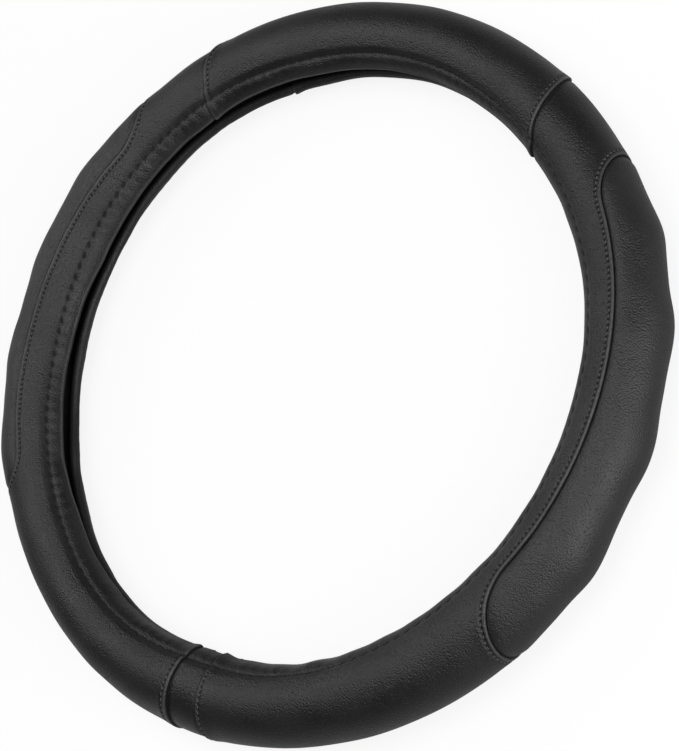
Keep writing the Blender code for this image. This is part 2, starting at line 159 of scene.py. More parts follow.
def waves(along: Array, across: Array, kind: Unevenness, seed: int) -> Array:
    """Gentle unevenness over a surface, made of a few waves in different directions.

    Args:
        along: Places along the leather.
        across: Places across the leather.
        kind: Lengths and number of the waves.
        seed: Seed of the waves' lengths, directions and phases.

    Returns:
        Heights between about -1 and 1.
    """
    draw = np.random.default_rng(seed)
    height = np.zeros_like(along)
    for _ in range(kind.count):
        length = draw.uniform(kind.shortest, kind.longest)
        heading = draw.uniform(0.0, math.pi)
        phase = draw.uniform(0.0, 2.0 * math.pi)
        run = along * math.cos(heading) + across * math.sin(heading)
        height += np.sin(2.0 * math.pi * run / length + phase)
    return height / math.sqrt(kind.count)


@dataclass(frozen=True)
class Drift:
    """A size that drifts softly round the wheel, given at the angles where it is at its most or its least."""

    stops: tuple[Place, ...]

    def at(self, degrees: Array) -> Array:
        """Sizes at angles round the wheel.

        Args:
            degrees: The angles.

        Returns:
            The size at each.
        """
        angles = np.array([angle for angle, _ in self.stops] + [self.stops[0][0] + 360.0])
        sizes = np.array([size for _, size in self.stops] + [self.stops[0][1]])
        turned = (degrees - angles[0]) % 360.0 + angles[0]
        before = np.clip(np.searchsorted(angles, turned, side="right") - 1, 0, len(self.stops) - 1)
        share = smooth_step((turned - angles[before]) / (angles[before + 1] - angles[before]))
        return sizes[before] + (sizes[before + 1] - sizes[before]) * share


SOFT_SWAY = Drift((
    (15.0, 1.5), (60.0, -1.0), (90.0, -0.3), (105.0, -0.6), (130.0, 0.5), (150.0, 0.0),
    (188.0, -2.2), (200.0, -1.9), (247.0, 1.35), (268.0, -0.5), (285.0, 0.5), (315.0, 0.1), (345.0, 0.5),
))
SOFT_SWELL = Drift((
    (30.0, -0.5), (85.0, -0.8), (114.0, 0.4), (134.0, -0.5), (160.0, 0.3), (180.0, 0.0),
    (200.0, 0.4), (243.0, -0.9), (269.0, 1.3), (288.0, 0.4), (316.0, 1.6), (352.0, 0.1),
))
FRONT_LIP_CLOSING = Drift((
    (78.0, 4.0), (98.0, 2.0), (116.0, -0.5), (135.0, 5.5), (148.0, 6.6), (167.0, 11.0),
    (179.0, 4.4), (200.0, -0.4), (209.0, -0.4), (228.0, 9.6), (243.0, 14.0), (262.0, 6.0),
))
FRONT_HEM_SHIFT = Drift((
    (60.0, -6.5), (125.0, -6.5), (150.0, -3.0), (172.0, 0.0),
    (190.0, 0.0), (205.0, -3.5), (248.0, -5.0), (280.0, -9.0),
))
GATHERING = Drift(((40.0, 0.4), (78.0, 1.0), (285.0, 1.0), (325.0, 0.4)))  # of the hems, at most 1
HEM_THREAD_DEPTH = Drift((  # how far the hem's thread has sunk into its pockets
    (60.0, 0.5), (205.0, 0.5), (240.0, 0.1), (300.0, 0.1), (340.0, 0.4),
))
BACK_LIP_CLOSING = Drift((
    (90.0, -1.0), (113.0, -3.0), (138.0, 1.0), (150.0, 2.5), (167.0, -6.5), (179.0, 1.0),
    (187.0, 1.0), (199.0, -7.0), (210.0, 0.0), (228.0, 6.0), (262.0, 0.0),
))


@dataclass(frozen=True)
class Tube:
    """The soft ring that the leather is wrapped round, and how its lips turn in."""

    centre_height: float  # middle of the tube above the surface that the cover lies on
    ring_radius: float = 175.3
    radius: float = 19.7
    slot_width: float = 7.5
    fold_radius: float = 2.4
    hem_from_lip: float = 6.3
    rest_rounding: float = 0.3  # how softly the flat of the back runs into the round
    sway: Drift = SOFT_SWAY  # how far the middle of the soft tube lies outside the true circle
    swell: Drift = SOFT_SWELL  # how much thicker the soft tube is
    front_closing: Drift = FRONT_LIP_CLOSING  # degrees by which the lip turns further towards the slot
    back_closing: Drift = BACK_LIP_CLOSING
    front_hem_shift: Drift = FRONT_HEM_SHIFT  # degrees by which the front hem lies nearer the slot
    shift_reach: float = 12.0  # width of leather before the hem that gives way to its shift

    @property
    def lip_angle(self) -> float:
        """Angle round the tube at which a lip starts its turn, in radians."""
        half_slot = self.slot_width / 2 + self.fold_radius
        return math.pi - math.asin(half_slot / (self.radius - self.fold_radius))

    @property
    def lip(self) -> float:
        """Place across the leather at which a lip starts its turn."""
        return self.radius * self.lip_angle

    @property
    def lip_end(self) -> float:
        """Place across the leather at which a lip has turned right round the rubber's edge."""
        return self.lip + math.pi * self.fold_radius

    @property
    def hem(self) -> float:
        """Place across the leather of the hem's stitches."""
        return self.lip - self.hem_from_lip

    @property
    def gather_count(self) -> int:
        """Number of gathers round the whole hem."""
        hem_radius = self.ring_radius + self.radius * math.cos(self.hem / self.radius)
        return round(2.0 * math.pi * hem_radius / self.hem_from_lip)

    @property
    def gather_along(self) -> float:
        """Length along the flat leather of one gather."""
        return 2.0 * math.pi * self.ring_radius / self.gather_count

    def along(self, degrees: float) -> float:
        """Place along the leather at an angle round the wheel."""
        return self.ring_radius * math.radians(degrees)

    def across(self, degrees: float) -> float:
        """Place across the leather at an angle round the tube."""
        return self.radius * math.radians(degrees)

    def section(self, along: Array, across: Array, height: Array) -> tuple[Array, Array]:
        """Places in the tube's section of points across the leather.

        Args:
            along: Places along the leather.
            across: Places across the leather.
            height: Heights above the leather's face.

        Returns:
            Distances outwards and upwards from the middle of the tube.
        """
        side = np.where(across < 0.0, -1.0, 1.0)
        length = np.abs(across)
        degrees = np.degrees(along / self.ring_radius)
        closing = np.where(across < 0.0, self.back_closing.at(degrees), self.front_closing.at(degrees))
        shift = np.where(across < 0.0, 0.0, self.front_hem_shift.at(degrees))
        past_hem = smooth_step((length - self.hem) / self.hem_from_lip)
        near_hem = smooth_step((length - self.hem + self.shift_reach) / self.shift_reach)
        moved = closing * past_hem + shift * near_hem * (1.0 - past_hem)
        angle = np.minimum(length, self.lip) / self.radius + np.radians(moved)
        turn = np.maximum(length - self.lip, 0.0) / self.fold_radius
        middle = self.radius - self.fold_radius + self.swell.at(degrees)
        outward = middle * np.cos(angle) + (self.fold_radius + height) * np.cos(angle + turn)
        upward = middle * np.sin(angle) + (self.fold_radius + height) * np.sin(angle + turn)
        return outward, side * upward

    def wrapped(self, along: Array, across: Array, height: Array) -> Array:
        """Places in space of points of the flat leather, in metres.

        Args:
            along: Places along the leather.
            across: Places across the leather.
            height: Heights above the leather's face.

        Returns:
            One row of three coordinates for each point.
        """
        outward, upward = self.section(along, across, height)
        turn = along / self.ring_radius
        reach = self.ring_radius + self.sway.at(np.degrees(turn)) + outward
        lift = upward + self.centre_height
        rested = 0.5 * (lift + np.sqrt(lift**2 + self.rest_rounding**2))
        return np.stack([reach * np.cos(turn), reach * np.sin(turn), rested], axis=-1) * MM


@dataclass(frozen=True)
class Sewing:
    """Sizes of the laps, stitches, hems and gathers of the leather."""

    piece_gap: float = 0.35
    lap_rise: float = 0.9
    insert_lap_rise: float = 0.55
    lap_reach: float = 4.6
    roll_width: float = 0.55
    roll_drop: float = 1.2
    insert_roll_drop: float = 1.05
    lap_share_at_lip: float = 0.35  # how much of a lap's height is left where it turns in with the lip
    lap_fade: float = 10.0
    # painted highlight along the crest of a lap's rolled edge, and painted shade at its very edge
    crest_place: float = 0.8  # crest of the rolled edge, in widths of the roll
    crest_width: float = 0.28
    edge_shade_width: float = 0.2
    under_drop: float = 0.5
    under_reach: float = 1.6
    # painted shade in the crease beside an edge that lies under a lap
    under_shade: float = 0.95
    under_shade_reach: float = 0.6
    end_shade_depth: float = 0.9
    stitch_inset: float = 2.6
    stitch_pitch: float = 2.8
    stitch_band: float = 2.0  # width to each side of a stitch line within which its holes count
    seam_clear_of_hem: float = 2.2  # from a hem to the outermost needle hole of a seam
    groove_clear_of_hem: float = 1.0
    groove_depth: float = 0.35
    groove_width: float = 0.85
    needle_depth: float = 0.75
    needle_width: float = 0.56
    # painted shade in each needle hole
    needle_shade: float = 1.8
    valley_depth: float = 0.6
    valley_width: float = 2.2
    valley_width_at_lip: float = 1.0
    swell_rise: float = 0.3  # before the valley of the hem
    swell_place: float = -5.0
    swell_width: float = 2.6
    roll_rise: float = 0.85  # between the hem and the lip
    roll_place: float = 3.6
    roll_spread: float = 2.2
    roll_spread_at_lip: float = 4.2
    pocket_depth: float = 0.4
    pocket_length: float = 3.1
    pocket_width: float = 1.35
    pocket_slant: float = math.radians(14.0)
    pocket_from_hem: float = 0.4
    pucker_rise: float = 0.09
    pucker_fade: float = 4.2  # distance from the hem at which the puckers beside the lip have gone
    gather_unevenness: float = 0.35
    back_gathering: float = 0.4
    outer_pucker_rise: float = 0.04
    outer_pucker_reach: float = 2.6
    outer_pucker_start: float = 0.8
    wrinkle_rise: float = 0.006
    wrinkle_reach: float = 4.5
    wrinkle_slant: float = 0.35
    wrinkle_fade: float = 4.0  # distance before the lip's end in which the wrinkles go
    bead_rise: float = 0.3  # the fine ridge along each lip, where the leather is folded
    bead_width: float = 0.5
    bead_place: float = -0.1
    # painted highlight on each lip's bead, stronger on the front lip
    front_bead_highlight: float = 0.9
    back_bead_highlight: float = 0.3
    # painted shade in the hem's pockets, before its valley and inside the slot
    pocket_shade: float = 2.0
    valley_shade: float = 0.35
    slot_shade: float = 0.95
    front_slot_shade: Place = (0.6, 1.4)  # where past the lip the slot's painted shade starts, and its growth's width
    back_slot_shade: Place = (1.5, 4.5)
    sag_rise: float = 0.16
    sag_fade: float = 8.0  # distance before the lip's end in which the sags go


@dataclass(frozen=True)
class Seam:
    """A seam across the leather, which leans and bows from where it crosses the outermost line."""

    angle: float
    lean: float = 0.0
    bow: float = 0.0

    def along(self, tube: Tube, across: Array) -> Array:
        """Places along the leather of the seam.

        Args:
            tube: The tube that the leather is wrapped round.
            across: Places across the leather.

        Returns:
            The places along it.
        """
        share = np.clip(across, -tube.lip, tube.lip) / (math.pi * tube.radius)
        return tube.ring_radius * np.radians(self.angle + self.lean * share + self.bow * share * share)

    def turned_back(self) -> "Seam":
        """The same seam, counted one turn earlier round the wheel."""
        return Seam(self.angle - 360.0, self.lean, self.bow)


@dataclass(frozen=True)
class InsertShape:
    """Outline and finger rests of a grip insert. Angles are in degrees, round the wheel or round the tube."""

    start: float
    end: float
    start_edge: float
    end_edge: float
    finger_rests: tuple[float, ...]
    corner_radii: tuple[float, float, float, float]  # at the back of the start, then anticlockwise
    back_edge: float = -60.5
    grip_rise: float = 0.8
    rest_rise: float = 2.1
    rest_length: float = 22.3
    rest_middle: float = -10.0
    rest_spread: float = 115.0

    def corners(self, tube: Tube) -> list[Vector]:
        """Corners on the flat leather before they are rounded, anticlockwise from the back of the start."""
        back = tube.across(self.back_edge)
        return [
            Vector((tube.along(self.start), back)),
            Vector((tube.along(self.end), back)),
            Vector((tube.along(self.end), tube.across(self.end_edge))),
            Vector((tube.along(self.start), tube.across(self.start_edge))),
        ]

    def rounding_centres(self, tube: Tube) -> list[Vector]:
        """Middles of the four rounded corners, anticlockwise on the flat leather.

        Args:
            tube: The tube that the leather is wrapped round.

        Returns:
            One place for each corner, the one at the back of the start first.
        """
        corners = self.corners(tube)
        neighbours = zip(corners[-1:] + corners[:-1], corners, corners[1:] + corners[:1], self.corner_radii)
        centres = []
        for before, corner, after, radius in neighbours:
            arriving = (corner - before).normalized()
            leaving = (after - corner).normalized()
            sides = Vector((arriving.y, -arriving.x)) + Vector((leaving.y, -leaving.x))
            centres.append(corner - sides * 2.0 * radius / sides.length_squared)
        return centres

    def distance(self, tube: Tube, along: Array, across: Array) -> Array:
        """Distances to the outline on the flat leather, negative inside it.

        Args:
            tube: The tube that the leather is wrapped round.
            along: Places along the leather.
            across: Places across the leather.

        Returns:
            The signed distances.
        """
        corners = self.corners(tube)
        runs = [(there - here).normalized() for here, there in zip(corners, corners[1:] + corners[:1])]
        beyond = np.full(np.shape(along), -np.inf)
        for here, run in zip(corners, runs):
            beyond = np.maximum(beyond, (along - here.x) * run.y - (across - here.y) * run.x)
        arriving = runs[-1:] + runs[:-1]
        rounded = zip(self.rounding_centres(tube), self.corner_radii, arriving, runs)
        for centre, radius, before, after in rounded:
            off_x, off_y = along - centre.x, across - centre.y
            past_before = off_x * before.x + off_y * before.y > 0.0
            short_of_after = off_x * after.x + off_y * after.y < 0.0
            to_rounding = np.hypot(off_x, off_y) - radius
            beyond = np.where(past_before & short_of_after, to_rounding, beyond)
        return beyond

    def loop(self, tube: Tube, offset: float, pitch: float) -> Array:
        """Evenly spaced places round the outline, anticlockwise.

        Args:
            tube: The tube that the leather is wrapped round.
            offset: Distance outside the outline.
            pitch: Distance between the places, made a little longer or shorter to come out even.

        Returns:
            One row of along and across for each place.
        """
        corners = self.corners(tube)
        neighbours = zip(corners[-1:] + corners[:-1], corners, corners[1:] + corners[:1])
        rounded = zip(neighbours, self.rounding_centres(tube), self.corner_radii)
        path_places = []
        for (before, corner, after), centre, radius in rounded:
            arriving = corner - before
            leaving = after - corner
            first = math.atan2(-arriving.x, arriving.y)
            sweep = arriving.angle_signed(leaving)
            reach = radius + offset
            for angle in np.linspace(first, first - sweep, CORNER_PLACES):
                path_places.append((centre.x + reach * math.cos(angle), centre.y + reach * math.sin(angle)))
        path = np.array(path_places + path_places[:1])
        lengths = np.concatenate([[0.0], np.cumsum(np.hypot(*np.diff(path, axis=0).T))])
        count = round(lengths[-1] / pitch)
        stops = np.arange(count) * lengths[-1] / count
        return np.stack([np.interp(stops, lengths, path[:, axis]) for axis in (0, 1)], axis=-1)

    def grip_height(self, tube: Tube, along: Array, across: Array) -> Array:
        """Heights of the insert's face over its pad, most of all at the finger rests.

        Args:
            tube: The tube that the leather is wrapped round.
            along: Places along the leather.
            across: Places across the leather.

        Returns:
            Heights above the face of the smooth panels.
        """
        off_middle = (across - tube.across(self.rest_middle)) / tube.across(self.rest_spread)
        swell = np.cos(np.minimum(np.abs(off_middle), 1.0) * math.pi / 2.0) ** 2
        height = np.full(np.shape(along), self.grip_rise)
        for rest in self.finger_rests:
            off_rest = (along - tube.along(rest)) / (self.rest_length / 2.0)
            height += self.rest_rise * swell * 0.5 ** (off_rest**2)
        return height


class FlatPattern:
    """Places on the flat leather and the outlines that they are meshed within."""

    def __init__(self) -> None:
        """Start with no places and no outlines."""
        self.places: list[Place] = []
        self.outlines: list[list[int]] = []

    def add(self, places: list[Place]) -> list[int]:
        """Add places.

        Args:
            places: Along and across of each.

        Returns:
            Their indexes.
        """
        first = len(self.places)
        self.places.extend(places)
        return list(range(first, len(self.places)))

    def triangles(self) -> list[list[int]]:
        """Triangles within the first outline and outside the others, anticlockwise, as indexes of places."""
        flat = [Vector(place) for place in self.places]
        found = delaunay_2d_cdt(flat, [], self.outlines, WITHIN_OUTLINES, MERGE_DISTANCE)
        faces, origins, covering = found[2], found[3], found[5]
        leather = [face for face, outline in zip(faces, covering) if outline == [0]]
        return [[origins[corner][0] for corner in face] for face in leather]


def honeycomb(low: Place, high: Place, pitch: float) -> Array:
    """Evenly spread places over a rectangle.

    Args:
        low: Its lowest along and across.
        high: Its highest along and across.
        pitch: Distance between places.

    Returns:
        One row of along and across for each place.
    """
    row_pitch = pitch * math.sqrt(3.0) / 2.0
    rows = np.arange(math.ceil(low[1] / row_pitch), math.floor(high[1] / row_pitch) + 1)
    columns = np.arange(math.floor(low[0] / pitch), math.ceil(high[0] / pitch) + 1)
    across, along = np.meshgrid(rows * row_pitch, columns * pitch, indexing="ij")
    along = along + (rows % 2)[:, None] * pitch / 2.0
    places = np.stack([along.ravel(), across.ravel()], axis=-1)
    return places[(places[:, 0] > low[0]) & (places[:, 0] < high[0])]


def shade(data: bpy.types.Mesh, material: bpy.types.Material) -> None:
    """Give a mesh its material and smooth shading that stops at sharp bends.

    Args:
        data: The mesh.
        material: Its material.
    """
    data.materials.append(material)
    data.shade_smooth()
    data.set_sharp_from_angle(angle=SHARP_BEND)


def new_piece(name: str, data: bpy.types.ID, stands_for: str) -> bpy.types.Object:
    """Put a finished piece on the wheel cover in place of a plain solid.

    Args:
        name: Name of the piece.
        data: Its mesh.
        stands_for: Name of the solid.

    Returns:
        The piece.
    """
    piece = bpy.data.objects.new(name, data)
    bpy.context.scene.collection.objects.link(piece)
    declare(piece, stands_for)
    return piece


def declare(piece: bpy.types.Object, stands_for: str) -> None:
    """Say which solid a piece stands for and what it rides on.

    Args:
        piece: The piece.
        stands_for: Name of the solid.
    """
    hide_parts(stands_for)
    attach(piece, BODY)
    log.info("%s: %d faces, stands for %s", piece.name, len(piece.data.polygons), stands_for)


@dataclass
class Relief:
    """Heights of leather above the plain tube, the painted shade of each place in a crease, and its painted
    highlight near a rim.
    """

    height: Array
    # painted shade, from 0 to 1
    crease: Array
    # painted highlight, from 0 to 1
    rim: Array


def closed_shell(name: str, tube: Tube, pattern: FlatPattern, relief: Relief, lining: Array,
                 inner: float) -> bpy.types.Mesh:
    """Closed mesh of a flat piece wrapped round the tube, with a finely meshed face and a coarse lining.

    Args:
        name: Name of the mesh.
        tube: The tube that it is wrapped round.
        pattern: Places of the face, with its outlines.
        relief: Relief of the face at each place.
        lining: Along and across of the lining's places inside the outlines.
        inner: Height of the lining.

    Returns:
        The mesh, in metres.
    """
    face = np.array(pattern.places)
    rims = [index for outline in pattern.outlines for index in outline]
    back = FlatPattern()
    back.add([pattern.places[index] for index in rims])
    first = 0
    for outline in pattern.outlines:
        back.outlines.append(list(range(first, first + len(outline))))
        first += len(outline)
    back.add([tuple(place) for place in lining])
    under = np.array(back.places)
    vertices = np.concatenate([
        tube.wrapped(face[:, 0], face[:, 1], relief.height),
        tube.wrapped(under[:, 0], under[:, 1], np.full(len(under), inner)),
    ])
    count = len(face)
    faces: list[list[int]] = pattern.triangles()
    faces += [[count + corner for corner in reversed(triangle)] for triangle in back.triangles()]
    for number, (top, bottom) in enumerate(zip(pattern.outlines, back.outlines)):
        order = -1 if number else 1
        top, bottom = top[::order], bottom[::order]
        for step in range(len(top)):
            ahead = (step + 1) % len(top)
            faces.append([top[step], count + bottom[step], count + bottom[ahead], top[ahead]])
    data = bpy.data.meshes.new(name)
    data.from_pydata(vertices.tolist(), [], faces)
    # Store the painted shade and the painted highlight as attributes for the leather's material.
    for mark, values in ((PAINTED_SHADE, relief.crease), (PAINTED_HIGHLIGHT, relief.rim)):
        shares = np.zeros(len(vertices), np.float32)
        shares[:count] = values
        data.attributes.new(mark, "FLOAT", "POINT").data.foreach_set("value", shares)
    return data


@dataclass
class LeatherPanel:
    """A panel of smooth leather between two seams, with its laps, hems and gathers and any insert's hole."""

    name: str
    tube: Tube
    sewing: Sewing
    start: Seam
    end: Seam
    start_edge: Edge
    end_edge: Edge
    start_inset: float = 2.8
    end_inset: float = 2.8
    insert: InsertShape | None = None
    thickness: float = 1.6
    skived_thickness: float = 1.45  # where the panel lies over an insert's edge
    grid_pitch: float = 2.0
    lining_pitch: float = 6.5
    seam_pitch: float = 0.47
    gather_steps: int = 8
    seed: int = 7
    clear_of_lines: float = 1.2
    lining_clearance: float = 0.8
    end_shade: float = 0.0  # reach of the shadow beside an end that lies under a lap turned from the light

    TUCKED_OFFSETS: ClassVar[tuple[float, ...]] = (0.0, 0.25, 0.55, 0.95, 1.5, 2.2, 3.0)
    ROLL_ANGLES: ClassVar[tuple[int, ...]] = (0, 20, 36, 52, 68, 84)
    STITCH_STEPS: ClassVar[tuple[float, ...]] = (
        -0.9, -0.6, -0.35, -0.12, 0.12, 0.35, 0.6, 0.9, 1.4, 2.0, 2.8, 3.8,
    )
    STITCH_LINES: ClassVar[float] = 1.0  # nearer than this to the stitches, the lines have close places
    ROLL_CLEARANCE: ClassVar[float] = 0.15
    NEAR_HEM: ClassVar[tuple[float, ...]] = (0.0, 0.22, 0.45, 0.7, 1.0)
    HEM_TO_LIP: ClassVar[tuple[float, ...]] = (1.4, 1.9, 2.6, 3.4, 4.2, 5.0, 5.4, 5.7, 5.95, 6.2)
    BEFORE_HEM: ClassVar[tuple[float, ...]] = (1.5, 2.1, 2.9, 3.9, 5.0, 6.2)
    PAST_LIP: ClassVar[tuple[float, ...]] = (0.15, 0.4, 0.7, 1.1, 1.6, 2.2, 3.0, 4.0, 5.2, 6.4)
    FINE_PAST_LIP: ClassVar[float] = 1.6  # rows nearer the lip than this keep closer places

    def build(self, material: bpy.types.Material) -> bpy.types.Object:
        """Make the panel.

        Args:
            material: Finish of smooth leather.

        Returns:
            The piece.
        """
        pattern = FlatPattern()
        start_side, end_side, lowest, highest = self.add_rows(pattern)
        pattern.outlines.append(lowest + end_side + highest[::-1] + start_side[::-1])
        if self.insert:
            pattern.outlines.append(self.add_hole(pattern))
        pattern.add(self.clear_places(self.grid_pitch, self.clear_of_lines))
        places = np.array(pattern.places)
        relief = self.relief(places[:, 0], places[:, 1])
        lining = np.array(self.clear_places(self.lining_pitch, 0.0, on_lips=True))
        data = closed_shell(self.name, self.tube, pattern, relief, lining, -self.lining_depth)
        shade(data, material)
        return new_piece(f"{self.name}_leather", data, self.name)

    @property
    def lining_depth(self) -> float:
        """How far the panel's back lies below its face."""
        return self.skived_thickness if self.insert else self.thickness

    def edge_offsets(self, edge: Edge, inset: float) -> list[float]:
        """Distances from a seam at which rows have places.

        Args:
            edge: How the panel's edge meets the next piece there.
            inset: Distance from the edge to its stitches.

        Returns:
            The distances, the edge itself first.
        """
        if edge is Edge.GOES_UNDER:
            return list(self.TUCKED_OFFSETS)
        roll = self.sewing.roll_width
        rolled = [roll * (1.0 - math.cos(math.radians(angle))) for angle in self.ROLL_ANGLES]
        stitched = [inset + step for step in self.STITCH_STEPS]
        return rolled + [distance for distance in stitched if distance > roll + self.ROLL_CLEARANCE]

    def row_places(self, across: float, pitch: float) -> tuple[list[float], list[float], list[float]]:
        """Places along one row of the panel.

        Args:
            across: Place of the row across the leather.
            pitch: Distance between places away from the seams.

        Returns:
            Places beside the start, between the seams and beside the end.
        """
        first, last = self.ends(np.array([across]))
        low = [first[0] + off for off in self.edge_offsets(self.start_edge, self.start_inset)]
        high = [last[0] - off for off in reversed(self.edge_offsets(self.end_edge, self.end_inset))]
        clear = pitch / 2.0
        steps = range(math.ceil((low[-1] + clear) / pitch), math.floor((high[0] - clear) / pitch) + 1)
        return low, [step * pitch for step in steps], high

    def ends(self, across: Array) -> tuple[Array, Array]:
        """Places along the leather of the panel's two ends.

        Args:
            across: Places across the leather.

        Returns:
            Places of its start and of its end.
        """
        gap = self.sewing.piece_gap / 2.0
        return self.start.along(self.tube, across) + gap, self.end.along(self.tube, across) - gap

    def add_rows(self, pattern: FlatPattern) -> tuple[list[int], list[int], list[int], list[int]]:
        """Add the rows of the hems and lips, and those beside the seams.

        Args:
            pattern: The pattern to add them to.

        Returns:
            Indexes of the start's and end's places between the outermost rows, and of those two rows.
        """
        tube = self.tube
        turned = [*self.PAST_LIP, math.pi * tube.fold_radius]
        fine = tube.gather_along / (2 * self.gather_steps)
        rows = [(tube.hem + off, fine) for off in self.NEAR_HEM]
        rows += [(tube.hem - off, fine) for off in self.NEAR_HEM[1:]]
        rows += [(tube.hem + off, 2 * fine) for off in self.HEM_TO_LIP]
        rows += [(tube.hem - off, 2 * fine) for off in self.BEFORE_HEM]
        rows += [(tube.lip + off, 3 * fine if off < self.FINE_PAST_LIP else 4 * fine) for off in turned]
        inner_limit = tube.hem - self.BEFORE_HEM[-1]
        sides: list[tuple[float, int, int]] = []
        ends: dict[float, list[int]] = {}
        for distance, pitch in rows:
            for across in (-distance, distance):
                low, middle, high = self.row_places(across, pitch)
                indexes = pattern.add([(along, across) for along in low + middle + high])
                sides.append((across, indexes[0], indexes[-1]))
                ends[across] = indexes
        count = math.floor(2 * (inner_limit - self.seam_pitch) / self.seam_pitch)
        for across in np.linspace(-inner_limit, inner_limit, count + 2)[1:-1]:
            low, _, high = self.row_places(float(across), self.grid_pitch)
            indexes = pattern.add([(along, float(across)) for along in low + high])
            sides.append((float(across), indexes[0], indexes[-1]))
        sides.sort()
        between = sides[1:-1]
        start_side = [start for _, start, _ in between]
        end_side = [end for _, _, end in between]
        return start_side, end_side, ends[min(ends)], ends[max(ends)]

    def add_hole(self, pattern: FlatPattern) -> list[int]:
        """Add the edge of the hole for the insert and the lines beside it.

        Args:
            pattern: The pattern to add them to.

        Returns:
            Indexes of the hole's edge, anticlockwise.
        """
        edge: list[int] = []
        for offset in self.edge_offsets(Edge.LAPS_OVER, self.sewing.stitch_inset):
            near_stitches = abs(offset - self.sewing.stitch_inset) < self.STITCH_LINES
            pitch = self.seam_pitch if near_stitches or not offset else 2 * self.seam_pitch
            loop = self.insert.loop(self.tube, self.sewing.piece_gap / 2.0 + offset, pitch)
            indexes = pattern.add([tuple(place) for place in loop])
            edge = edge or indexes
        return edge

    def clear_places(self, pitch: float, clearance: float, on_lips: bool = False) -> list[Place]:
        """Evenly spread places inside the panel, clear of its seams, its hems and any hole.

        Args:
            pitch: Distance between them.
            clearance: Distance to the lines of places that follow the seams and hems.
            on_lips: Whether they also cover the hems and lips.

        Returns:
            Along and across of each.
        """
        tube, margin = self.tube, self.lining_clearance
        reach = tube.lip_end - margin if on_lips else tube.hem - self.BEFORE_HEM[-1] - clearance
        limits = np.linspace(-tube.lip, tube.lip, 9)
        starts, ends = self.ends(limits)
        places = honeycomb((starts.min(), -reach), (ends.max(), reach), pitch)
        along, across = places[:, 0], places[:, 1]
        first, last = self.ends(across)
        edges = [(self.start_edge, self.start_inset), (self.end_edge, self.end_inset)]
        edges.append((Edge.LAPS_OVER, self.sewing.stitch_inset))
        lines = [self.edge_offsets(edge, inset)[-1] if clearance else margin for edge, inset in edges]
        start_clear, end_clear, hole_clear = [reached + clearance for reached in lines]
        kept = (along > first + start_clear) & (along < last - end_clear)
        if self.insert:
            outside = self.insert.distance(tube, along, across)
            kept &= outside > self.sewing.piece_gap / 2.0 + hole_clear
        return [tuple(place) for place in places[kept]]

    def relief(self, along: Array, across: Array) -> Relief:
        """Relief of the panel's face.

        Args:
            along: Places along the leather.
            across: Places across the leather.

        Returns:
            The relief.
        """
        sewing = self.sewing
        whole = self.hem_relief(along, across)
        sag = waves(along, across, LEATHER_SAGS, self.seed) * sewing.sag_rise
        whole.height += sag * smooth_step((self.tube.lip_end - np.abs(across)) / sewing.sag_fade)
        first, last = self.ends(across)
        off_stitch = self.off_seam_stitch(across)
        parts = [
            self.edge_relief(along - first, self.start_edge, self.start_inset, off_stitch, across),
            self.edge_relief(last - along, self.end_edge, self.end_inset, off_stitch, across),
        ]
        if self.end_shade:
            shade = sewing.end_shade_depth * bell(last - along, self.end_shade)
            whole.crease = np.maximum(whole.crease, shade)
        if self.insert:
            distance = self.insert.distance(self.tube, along, across) - sewing.piece_gap / 2.0
            parts.append(self.hole_relief(distance, along, across))
        for part in parts:
            whole.height += part.height
            whole.crease = np.maximum(whole.crease, part.crease)
            whole.rim = np.maximum(whole.rim, part.rim)
        return whole

    def off_seam_stitch(self, across: Array) -> Array:
        """Distances along a seam to its nearest needle hole."""
        steps = across / self.sewing.stitch_pitch
        return (steps - np.round(steps)) * self.sewing.stitch_pitch

    def edge_relief(self, distance: Array, edge: Edge, inset: float, off_stitch: Array,
                    across: Array) -> Relief:
        """Relief of one of the panel's ends.

        Args:
            distance: Distances from the end.
            edge: How the end meets the next piece.
            inset: Distance from the end to its stitches.
            off_stitch: Distances along the seam to the nearest needle hole.
            across: Places across the leather.

        Returns:
            The relief.
        """
        sewing = self.sewing
        if edge is Edge.GOES_UNDER:
            height = -sewing.under_drop * bell(distance, sewing.under_reach)
            return Relief(height, tucked_shade(distance, sewing), np.zeros_like(height))
        level = smooth_step((self.tube.lip_end - np.abs(across)) / sewing.lap_fade)
        lap = lap_relief(distance, sewing.lap_rise, sewing.roll_drop, sewing)
        clear = sewing.groove_clear_of_hem
        sewn = smooth_step((self.tube.hem - clear - np.abs(across)) / clear)
        groove, holes = stitch_relief(distance - inset, off_stitch, sewing)
        share = sewing.lap_share_at_lip
        height = lap.height * (share + (1.0 - share) * level) - groove * sewn
        return Relief(height, np.maximum(lap.crease, holes * sewn), lap.rim)

    def hole_relief(self, distance: Array, along: Array, across: Array) -> Relief:
        """Relief of the leather round the hole for the insert.

        Args:
            distance: Distances from the hole's edge.
            along: Places along the leather.
            across: Places across the leather.

        Returns:
            The relief.
        """
        sewing = self.sewing
        needles = insert_needles(self.tube, sewing, self.insert)
        off_stitch = np.full(np.shape(along), FAR)
        beside = np.flatnonzero(np.abs(distance - sewing.stitch_inset) < sewing.stitch_band)
        for part in np.array_split(beside, max(1, len(beside) // PLACES_AT_ONCE)):
            off_along = along[part, None] - needles[None, :, 0]
            off_across = across[part, None] - needles[None, :, 1]
            nearest = np.hypot(off_along, off_across).min(axis=1)
            off_line = distance[part] - sewing.stitch_inset
            off_stitch[part] = np.sqrt(np.maximum(nearest**2 - off_line**2, 0.0))
        lap = lap_relief(distance, sewing.insert_lap_rise, sewing.insert_roll_drop, sewing)
        groove, holes = stitch_relief(distance - sewing.stitch_inset, off_stitch, sewing)
        return Relief(lap.height - groove, np.maximum(lap.crease, holes), lap.rim)

